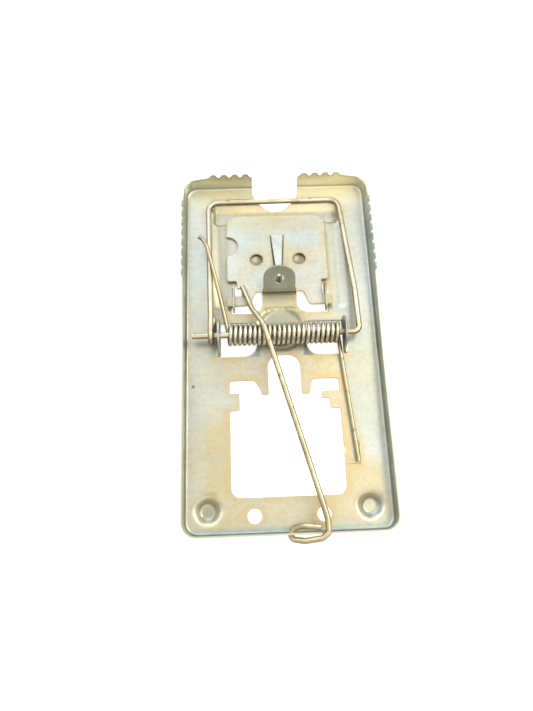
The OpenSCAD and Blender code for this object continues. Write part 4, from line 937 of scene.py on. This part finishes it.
treadleOutline = roundCorners([
    (treadle["x0"], treadle["near"], 0.6), (-waistLeft, treadle["near"], 0.4),
    (-waistLeft, treadle["catchY"], 0.3), (-catchX, treadle["catchY"], 0.3),
    (-catchX, tabEnd, 0.3), (-tabX, tabEnd, 0.4), (-tabX, tabNear, 0.4),
    (-neckX, tabNear, 0.6), (-neckInX, neckNear, 0.3), (0.3 - neckInX, tongueNear, 0.2),
    (-nickX, tongueNear, 0.1), (-nickX, nickFar, 0.05), (-halfTongue, nickFar, 0.05),
    (-halfTongue, tongueEnd, tongue["radius"]), (halfTongue, tongueEnd, tongue["radius"]),
    (halfTongue, nickFar, 0.05), (nickX, nickFar, 0.05), (nickX, tongueNear, 0.1),
    (neckInX - 0.3, tongueNear, 0.2), (neckInX, neckNear, 0.3), (neckX, tabNear, 0.6), (tabX, tabNear, 0.4),
    (tabX, tabEnd, 0.4), (waistRight, tabEnd, 0.3), (waistRight, treadle["near"], 0.4),
    (treadle["x1"], treadle["near"], 0.6), (treadle["x1"], treadle["far"], treadle["radius"]),
    (treadle["x0"], treadle["far"], treadle["radius"])])
notchArc = [(notch["x"] + notch["radius"] * math.sin(math.pi * k / notch["steps"]),
             notch["y"] + notch["radius"] * math.cos(math.pi * k / notch["steps"]))
            for k in range(notch["steps"] + 1)]
notchArc = [point for point in notchArc if point[0] > treadle["x0"]]
treadleOutline += [(treadle["x0"], notchArc[0][1])] + notchArc + [(treadle["x0"], notchArc[-1][1])]

# the spike is cut free by a narrow gap all round, down to its root
halfRoot, halfMiddle, halfTip, gap = spike["width"] / 2, spike["middle"] / 2, spike["tipHalf"], spike["gap"]
spikeTip = spike["root"] - spike["length"]
spikeMiddle = spike["root"] - spike["length"] * spike["middleShare"]
outside = [(halfRoot + gap, spike["root"]), (halfMiddle + gap, spikeMiddle),
           (halfTip + gap, spikeTip + spike["tipLength"] - gap / 2)]
inside = [(halfRoot, spike["root"]), (halfMiddle, spikeMiddle), (halfTip, spikeTip + spike["tipLength"])]
spikeCut = [(-x, y) for x, y in outside] + [(0, spikeTip - gap)] + outside[::-1]
spikeCut += inside + [(0, spikeTip)] + [(-x, y) for x, y in inside[::-1]]
holes, holeY = treadle["holes"], tongue["fold"] - tongueWay - tongue["holeWay"]
treadleLoops = [treadleOutline, spikeCut, circleOutline(0, holeY, tongue["hole"], 30)]
treadleLoops += [circleOutline(side * holes["x"], holes["y"], holes["radius"], 34) for side in (-1, 1)]
treadleFolds = [(x, tongue["fold"] - tongueWay * share) for share in treadle["foldRows"]
                for x in np.arange(-halfTongue + 0.3, halfTongue - 0.2, treadle["foldStep"])]


# bends one part of the plate up about the line at foldY
def bendUp(places, ups, mine, y, foldY, turn):
    way = np.maximum(foldY - y, 0)
    bent = np.minimum(way / tongueBend, turn)
    along = np.maximum(way - tongueBend * turn, 0)
    places[mine, 1] = (foldY - tongueBend * np.sin(bent) - along * math.cos(turn))[mine]
    places[mine, 2] = (tongueBend * (1 - np.cos(bent)) + along * math.sin(turn))[mine]
    ups[mine] = np.column_stack([np.zeros(len(y)), np.sin(bent), np.cos(bent)])[mine]


def treadlePlaceAt(points):
    x, y = points[:, 0], points[:, 1]
    places = np.column_stack([x, y, np.zeros(len(points))])
    ups = np.tile([0.0, 0.0, 1.0], (len(points), 1))
    onTongue = (np.abs(x) < halfTongue + 0.03) & (y < tongue["fold"])
    bendUp(places, ups, onTongue, y, tongue["fold"], tongueTurn)
    share = np.clip((spike["root"] - y) / spike["length"], 0, 1)
    width = np.where(share < spike["middleShare"],
                     halfRoot + (halfMiddle - halfRoot) * share / spike["middleShare"], halfMiddle)
    onSpike = (np.abs(x) < width + gap * 0.5) & (y < spike["root"] + 0.01) & (y > spikeTip - 0.12)
    bendUp(places, ups, onSpike, y, spike["root"], math.radians(spike["rise"]))
    # then the whole treadle is tilted about its pivot
    tilt = math.radians(treadle["tilt"])
    sine, cosine = math.sin(tilt), math.cos(tilt)
    turnTilt = np.array([[1, 0, 0], [0, cosine, sine], [0, -sine, cosine]])
    places = (places - [0, treadle["pivotY"], 0]) @ turnTilt.T
    return places + [0, treadle["pivotY"] + rowShift, treadle["pivotZ"]], ups @ turnTilt.T


def treadleToneAt(flat, edgeDistance, rings):
    x, y = flat[:, 0], flat[:, 1]
    onTongue = (np.abs(x) < halfTongue + 0.03) & (y < tongue["fold"])
    onSpike = (np.abs(x) < halfRoot) & (y < spike["root"] - 0.2) & (y > spikeTip - 0.2)
    holeWay = np.hypot(np.abs(x) - holes["x"], y - holes["y"]) - holes["radius"]
    shade, holeDirt = treadle["tongueShade"], treadle["holeDirt"]
    past = np.clip((tongue["fold"] - tongueWay * shade["from"] - y) / shade["over"], 0, 1)
    return {
        "edgeWay": np.clip(edgeDistance, 0, treadle["farthest"]),
        "wallShade": shade["share"] * past * onTongue,
        "dirtAndShade": np.maximum(holeDirt["share"] * (holeWay < holeDirt["width"]),
                            toneEdge(edgeDistance, *treadle["edgeDirt"])),
        "straw": toneOver(flat, treadle["straw"]),
        "cool": np.maximum(toneOver(flat, treadle["cool"]), treadle["spikeReflection"] * onSpike),
        "paintedHighlight": toneEdge(edgeDistance, *treadle["edgeShine"])}


treadlePiece = sheetFromPattern("treadle_plate", treadleLoops, treadlePlaceAt, treadleToneAt,
                                treadle["meshStep"], treadleFolds)
treadlePiece.data.materials.append(makeSheetFinish(treadleFinish))
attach(treadlePiece, "treadle")
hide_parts("treadle")
print("treadle:", len(treadlePiece.data.polygons), "faces")


# bent wires

wireMesh = {"sharpAngle": 50, "unshadedFrom": 0.75}    # degrees, and the height of a normal from which a side is free of painted shade


# opens a node tree with its named inputs and its one output
def startTree(name, sockets, result):
    tree = bpy.data.node_groups.new(name, "GeometryNodeTree")
    for socket, kind in sockets.items():
        tree.interface.new_socket(socket, in_out="INPUT", socket_type=kind)
    tree.interface.new_socket(result, in_out="OUTPUT", socket_type="NodeSocketGeometry")
    return tree, addNode(tree, "NodeGroupInput").outputs


# draws the round section along the curve and closes the tree
def sweepWire(tree, given, curve):
    halved = addNode(tree, "ShaderNodeMath", {"operation": "MULTIPLY"}, {1: 0.5}, {0: given["Wire Diameter"]})
    section = addNode(tree, "GeometryNodeCurvePrimitiveCircle", links={
        "Resolution": given["Sides"], "Radius": halved.outputs[0]})
    swept = addNode(tree, "GeometryNodeCurveToMesh", values={"Fill Caps": True}, links={
        "Curve": curve, "Profile Curve": section.outputs[0]})
    real = addNode(tree, "GeometryNodeRealizeInstances", links={0: swept.outputs[0]})
    finished = addNode(tree, "GeometryNodeSetMaterial", links={
        "Geometry": real.outputs[0], "Material": given["Finish"]})
    addNode(tree, "NodeGroupOutput", links={0: finished.outputs[0]})


# Takes a line of points, rounds its corners by their own bend radius and draws the wire along it.
def makeWireTree():
    tree, given = startTree("bentWire", {
        "Path": "NodeSocketGeometry", "Wire Diameter": "NodeSocketFloat", "Bend Points": "NodeSocketInt",
        "Point Spacing": "NodeSocketFloat", "Sides": "NodeSocketInt", "Finish": "NodeSocketMaterial"}, "Wire")
    bend = addNode(tree, "GeometryNodeInputNamedAttribute", {"data_type": "FLOAT"}, {"Name": "bendRadius"})
    scale = addNode(tree, "GeometryNodeInputNamedAttribute", {"data_type": "FLOAT"}, {"Name": "wireScale"})
    line = addNode(tree, "GeometryNodeMeshToCurve", links={"Mesh": given["Path"]})
    scaled = addNode(tree, "GeometryNodeSetCurveRadius", links={
        "Curve": line.outputs[0], "Radius": scale.outputs[0]})
    rounded = addNode(tree, "GeometryNodeFilletCurve", {"mode": "POLY"}, links={
        "Curve": scaled.outputs[0], "Count": given["Bend Points"], "Radius": bend.outputs[0]})
    even = addNode(tree, "GeometryNodeResampleCurve", {"mode": "LENGTH"}, links={
        "Curve": rounded.outputs[0], "Length": given["Point Spacing"]})
    sweepWire(tree, given, even.outputs[0])
    return tree


# hands a line of points (mm) to a node tree and keeps the plain mesh that comes out
def growFromPath(name, tree, points, attributes, inputs):
    lineMesh = bpy.data.meshes.new(name + "Line")
    steps = [(i, i + 1) for i in range(len(points) - 1)]
    lineMesh.from_pydata([tuple(Vector(p) * mm) for p in points], steps, [])
    for attributeName, values in attributes.items():
        lineMesh.attributes.new(attributeName, "FLOAT", "POINT").data.foreach_set("value", values)
    holder = bpy.data.objects.new(name + "Line", lineMesh)
    bpy.context.collection.objects.link(holder)
    modifier = holder.modifiers.new("wire", "NODES")
    modifier.node_group = tree
    for item in tree.interface.items_tree:
        if item.in_out == "INPUT" and item.name in inputs:
            modifier[item.identifier] = inputs[item.name]
    evaluated = holder.evaluated_get(bpy.context.evaluated_depsgraph_get())
    mesh = bpy.data.meshes.new_from_object(evaluated)
    bpy.data.objects.remove(holder)
    mesh.name = name
    mesh.shade_smooth()
    mesh.set_sharp_from_angle(angle=math.radians(wireMesh["sharpAngle"]))
    piece = bpy.data.objects.new(name, mesh)
    bpy.context.collection.objects.link(piece)
    return piece


# painted shade on a wire's flanks and below it, none on its top
def addWireShade(piece, share, between=0):
    normals = np.zeros(len(piece.data.vertices) * 3)
    piece.data.vertex_normals.foreach_get("vector", normals)
    unshadedFrom = wireMesh["unshadedFrom"]
    wireShade = np.maximum(share * softStep((unshadedFrom - normals[2::3]) / unshadedFrom), between)
    piece.data.attributes.new("wireShade", "FLOAT", "POINT").data.foreach_set("value", wireShade)


wireTree = makeWireTree()


def makeWire(name, points, bends, look, finish):
    points, bends, scales = [Vector(p) for p in points], list(bends), [1.0] * len(points)
    # both ends get a short cut chamfer
    for end, inner, place in ((0, 1, 1), (-1, -2, -1)):
        way = (points[inner] - points[end]).normalized()
        points.insert(place, points[end] + way * look["endTaper"])
        bends[end] = 0
        bends.insert(place, 0)
        scales[end] = look["endScale"]
        scales.insert(place, 1.0)
    return growFromPath(name, wireTree, points,
                        {"bendRadius": [b * mm for b in bends], "wireScale": scales},
                        {"Wire Diameter": look["diameter"] * mm, "Bend Points": look["bendPoints"],
                         "Point Spacing": look["spacing"] * mm, "Sides": look["sides"], "Finish": finish})


striker = {
    "diameter": 1.6, "axleY": 1.7, "axleZ": 5.2, "tilt": 3.2,
    "axleEnd": -24.3, "legX": 21.2, "kneeX": 21.0, "knee": 13.3, "barRight": 18.6, "barLeft": -19.9,
    "legLength": 43, "leftKnee": 6, "legBend": 1.6, "barBend": 3.0, "slightBend": 15,
    "eyeX": -19.2, "eyeGap": 0.08, "eyeSteps": 22,
    "tailStart": 1, "tailLength": 5.8, "tailOut": 0.5, "tailBend": 3,
    "bendPoints": 10, "spacing": 0.4, "sides": 20, "endTaper": 0.3, "endScale": 0.8, "wireShade": 0.74,
}
eyeX, legLength, slightBend, barBend = (
    striker[name] for name in ("eyeX", "legLength", "slightBend", "barBend"))
eyeRadius = striker["diameter"] + striker["eyeGap"]
eyeLean = math.asin(eyeRadius / legLength)
eyeStart = (eyeX, eyeRadius * math.sin(eyeLean), eyeRadius * math.cos(eyeLean))
leftKnee = (eyeX, striker["leftKnee"], eyeStart[2] - (striker["leftKnee"] - eyeStart[1]) * math.tan(eyeLean))
strikerPath = [(striker["axleEnd"], 0, 0), (striker["legX"], 0, 0), (striker["kneeX"], striker["knee"], 0),
               (striker["barRight"], legLength, 0), (striker["barLeft"], legLength, 0), leftKnee, eyeStart]
strikerBends = [0, striker["legBend"], slightBend, barBend, barBend, slightBend, 0]
for k in range(1, striker["eyeSteps"] + 1):
    angle = math.pi / 2 - eyeLean + (math.pi + eyeLean) * k / striker["eyeSteps"]
    strikerPath.append((eyeX, eyeRadius * math.cos(angle), eyeRadius * math.sin(angle)))
    strikerBends.append(0)
strikerPath += [(eyeX, striker["tailStart"], -eyeRadius),
                (eyeX + striker["tailOut"], striker["tailLength"], -eyeRadius)]
strikerBends += [striker["tailBend"], 0]
strikerTilt = Matrix.Translation((0, striker["axleY"] + rowShift, striker["axleZ"])) @ Matrix.Rotation(
    -math.radians(striker["tilt"]), 4, "X")
strikerPiece = makeWire("striker_wire", [strikerTilt @ Vector(p) for p in strikerPath], strikerBends, striker,
                        makeWireFinish(strikerFinish))
addWireShade(strikerPiece, striker["wireShade"])
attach(strikerPiece, "striker")
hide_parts("striker")
print("striker:", len(strikerPiece.data.polygons), "faces")

lockWire = {
    "diameter": 1.5, "eyeRadius": 1.8, "bend": 0.95, "eyeX": 9, "eyeY": -50.25, "eyeZ": 5.65,
    "end": (-10.4, 16.4, 3.9), "dip": (-7.9, 8.6, 6.6), "knee": (-5, 3.4, 9.15), "run": (7.6, -42, 7.63),
    "neck": (8.9, -47, 7.46), "bends": [0, 3, 3, 15, 5],
    # the eye: its angles round the rim, and at each the share of the way out from the middle to eyeX
    "angles": [90, 135, 180, 225, 270, 315, 360, 403],
    "shares": [1, 0.82, 0.36, 0.03, -0.02, 0.08, 0.34, 0.8],
    "bendPoints": 8, "spacing": 0.35, "sides": 20, "endTaper": 0.3, "endScale": 0.8, "wireShade": 0.75,
}
lockPath = [lockWire[name] for name in ("end", "dip", "knee", "run", "neck")]
for angle, share in zip(lockWire["angles"], lockWire["shares"]):
    lockPath.append((lockWire["eyeX"] * share,
                     lockWire["eyeY"] + lockWire["eyeRadius"] * math.cos(math.radians(angle)),
                     lockWire["eyeZ"] + lockWire["eyeRadius"] * math.sin(math.radians(angle))))
lockBends = lockWire["bends"] + [lockWire["bend"]] * len(lockWire["angles"])
lockPiece = makeWire("lock_wire_bent", [Vector(p) + Vector((0, rowShift, 0)) for p in lockPath], lockBends,
                     lockWire, makeWireFinish(lockFinish))
addWireShade(lockPiece, lockWire["wireShade"])
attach(lockPiece, "lock_wire")
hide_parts("lock_wire")
print("lock wire:", len(lockPiece.data.polygons), "faces")


# torsion spring

# The arms keep the places they are given; every point that has a turn number is wound round the axle.
def makeSpringTree():
    tree, given = startTree("woundSpring", {
        "Path": "NodeSocketGeometry", "Wire Diameter": "NodeSocketFloat", "Coil Radius": "NodeSocketFloat",
        "Pitch": "NodeSocketFloat", "Coil Start": "NodeSocketVector", "Sides": "NodeSocketInt",
        "Finish": "NodeSocketMaterial"}, "Spring")
    turn, scale = (
        addNode(tree, "GeometryNodeInputNamedAttribute", {"data_type": "FLOAT"}, {"Name": name}).outputs[0]
        for name in ("turnNumber", "wireScale"))
    angle = addNode(tree, "ShaderNodeMath", {"operation": "MULTIPLY"}, {1: 2 * math.pi}, {0: turn})
    minus = addNode(tree, "ShaderNodeMath", {"operation": "MULTIPLY"}, {1: -1}, {0: given["Coil Radius"]})
    out = []
    for operation in ("SINE", "COSINE"):
        wave = addNode(tree, "ShaderNodeMath", {"operation": operation}, links={0: angle.outputs[0]})
        out.append(addNode(tree, "ShaderNodeMath", {"operation": "MULTIPLY"}, links={
            0: minus.outputs[0], 1: wave.outputs[0]}).outputs[0])
    advance = addNode(tree, "ShaderNodeMath", {"operation": "MULTIPLY"}, links={0: turn, 1: given["Pitch"]})
    ring = addNode(tree, "ShaderNodeCombineXYZ", links={0: advance.outputs[0], 1: out[0], 2: out[1]})
    wound = addNode(tree, "ShaderNodeVectorMath", {"operation": "ADD"}, links={
        0: given["Coil Start"], 1: ring.outputs[0]})
    onCoil = addNode(tree, "FunctionNodeCompare", {"data_type": "FLOAT", "operation": "GREATER_EQUAL"},
                     {1: 0.0}, {0: turn})
    line = addNode(tree, "GeometryNodeMeshToCurve", links={"Mesh": given["Path"]})
    placed = addNode(tree, "GeometryNodeSetPosition", links={
        "Geometry": line.outputs[0], "Selection": onCoil.outputs[0], "Position": wound.outputs[0]})
    scaled = addNode(tree, "GeometryNodeSetCurveRadius", links={"Curve": placed.outputs[0], "Radius": scale})
    sweepWire(tree, given, scaled.outputs[0])
    return tree


spring = {
    "diameter": 1.12, "turns": 23, "pitch": 1.305, "coilRadius": 2.49, "startX": -14.4,
    "crossY": 25.3, "crossRise": 2.2, "bow": 0.3,
    "hook": (-20.5, 29.2), "hookLength": 2.7, "hookWay": (-0.62, 0.7, -0.35),
    # shares of the hook's straight end, the steps of its bend, and how many of the arm's steps that takes in
    "hookStart": 0.12, "hookBend": 0.4, "bendSteps": 9, "bendOver": 3,
    "armSteps": 60, "rightEnd": (18.5, -33, 2.45), "rightSteps": 44,
    "stepsPerTurn": 32, "sides": 14, "endScale": 0.8, "endShare": 0.3,
    # painted shade on the flanks, deepest between the turns: its shares there, and from where on the flank
    "wireShade": 0.36, "between": 0.8, "flankFrom": 0.62,
}
axleY, axleZ, crossY = striker["axleY"], striker["axleZ"], spring["crossY"]
coilLow = axleZ - spring["coilRadius"]
tiltAngle = math.radians(striker["tilt"])
legRise = (legLength + axleY - crossY) * math.tan(eyeLean) * math.cos(tiltAngle)
legZ = axleZ + legRise - (crossY - axleY) * math.sin(tiltAngle)
hookZ = coilLow + (legZ + spring["crossRise"] - coilLow) * (spring["hook"][1] - axleY) / (crossY - axleY)
hook = Vector((*spring["hook"], hookZ))
leftRoot = Vector((spring["startX"], axleY, coilLow))
rightRoot = Vector((spring["startX"] + spring["turns"] * spring["pitch"], axleY, coilLow))
rightEnd = Vector(spring["rightEnd"])
hookTip = hook + Vector(spring["hookWay"]) * spring["hookLength"]
leftArm = []
for i in range(spring["armSteps"] + 1):
    share = i / spring["armSteps"]
    leftArm.append(hook.lerp(leftRoot, share) + Vector((spring["bow"] * math.sin(math.pi * share), 0, 0)))
# the hook's own bend is a smooth quarter
hookIn, bendStart = leftArm[spring["bendOver"]], hookTip.lerp(hook, spring["hookBend"])
springPoints = [hookTip, hookTip.lerp(hook, spring["hookStart"]), bendStart]
for i in range(1, spring["bendSteps"]):
    share = i / spring["bendSteps"]
    springPoints.append(bendStart.lerp(hook, share).lerp(hook.lerp(hookIn, share), share))
springPoints += leftArm[spring["bendOver"]:-1]
turnNumbers = [-1.0] * len(springPoints)
for i in range(spring["turns"] * spring["stepsPerTurn"] + 1):
    springPoints.append(Vector((0, 0, 0)))
    turnNumbers.append(i / spring["stepsPerTurn"])
for i in range(1, spring["rightSteps"] + 1):
    springPoints.append(rightRoot.lerp(rightEnd, i / spring["rightSteps"]))
    turnNumbers.append(-1.0)
springPoints.insert(-1, springPoints[-1].lerp(springPoints[-2], spring["endShare"]))
turnNumbers.append(-1.0)
wireScales = [1.0] * len(springPoints)
wireScales[0] = wireScales[-1] = spring["endScale"]
springPiece = growFromPath(
    "spring_coil", makeSpringTree(), [p + Vector((0, rowShift, 0)) for p in springPoints],
    {"turnNumber": turnNumbers, "wireScale": wireScales},
    {"Wire Diameter": spring["diameter"] * mm, "Coil Radius": spring["coilRadius"] * mm,
     "Pitch": spring["pitch"] * mm, "Sides": spring["sides"],
     "Coil Start": Vector((spring["startX"], axleY + rowShift, axleZ)) * mm,
     "Finish": makeWireFinish(springFinish)})
springMesh = springPiece.data
flank, turnAt = np.zeros(len(springMesh.vertices) * 3), np.zeros(len(springMesh.vertices))
springMesh.vertices.foreach_get("co", flank)
springMesh.attributes["turnNumber"].data.foreach_get("value", turnAt)
flank = np.abs(flank[::3] / mm - spring["startX"] - turnAt * spring["pitch"]) / (spring["diameter"] / 2)
deep = softStep((flank - spring["flankFrom"]) / (1 - spring["flankFrom"]))
addWireShade(springPiece, spring["wireShade"], np.where(turnAt >= 0, spring["between"] * deep, 0))
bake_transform(springPiece)
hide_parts("torsion_spring")
print("spring:", len(springPiece.data.polygons), "faces")
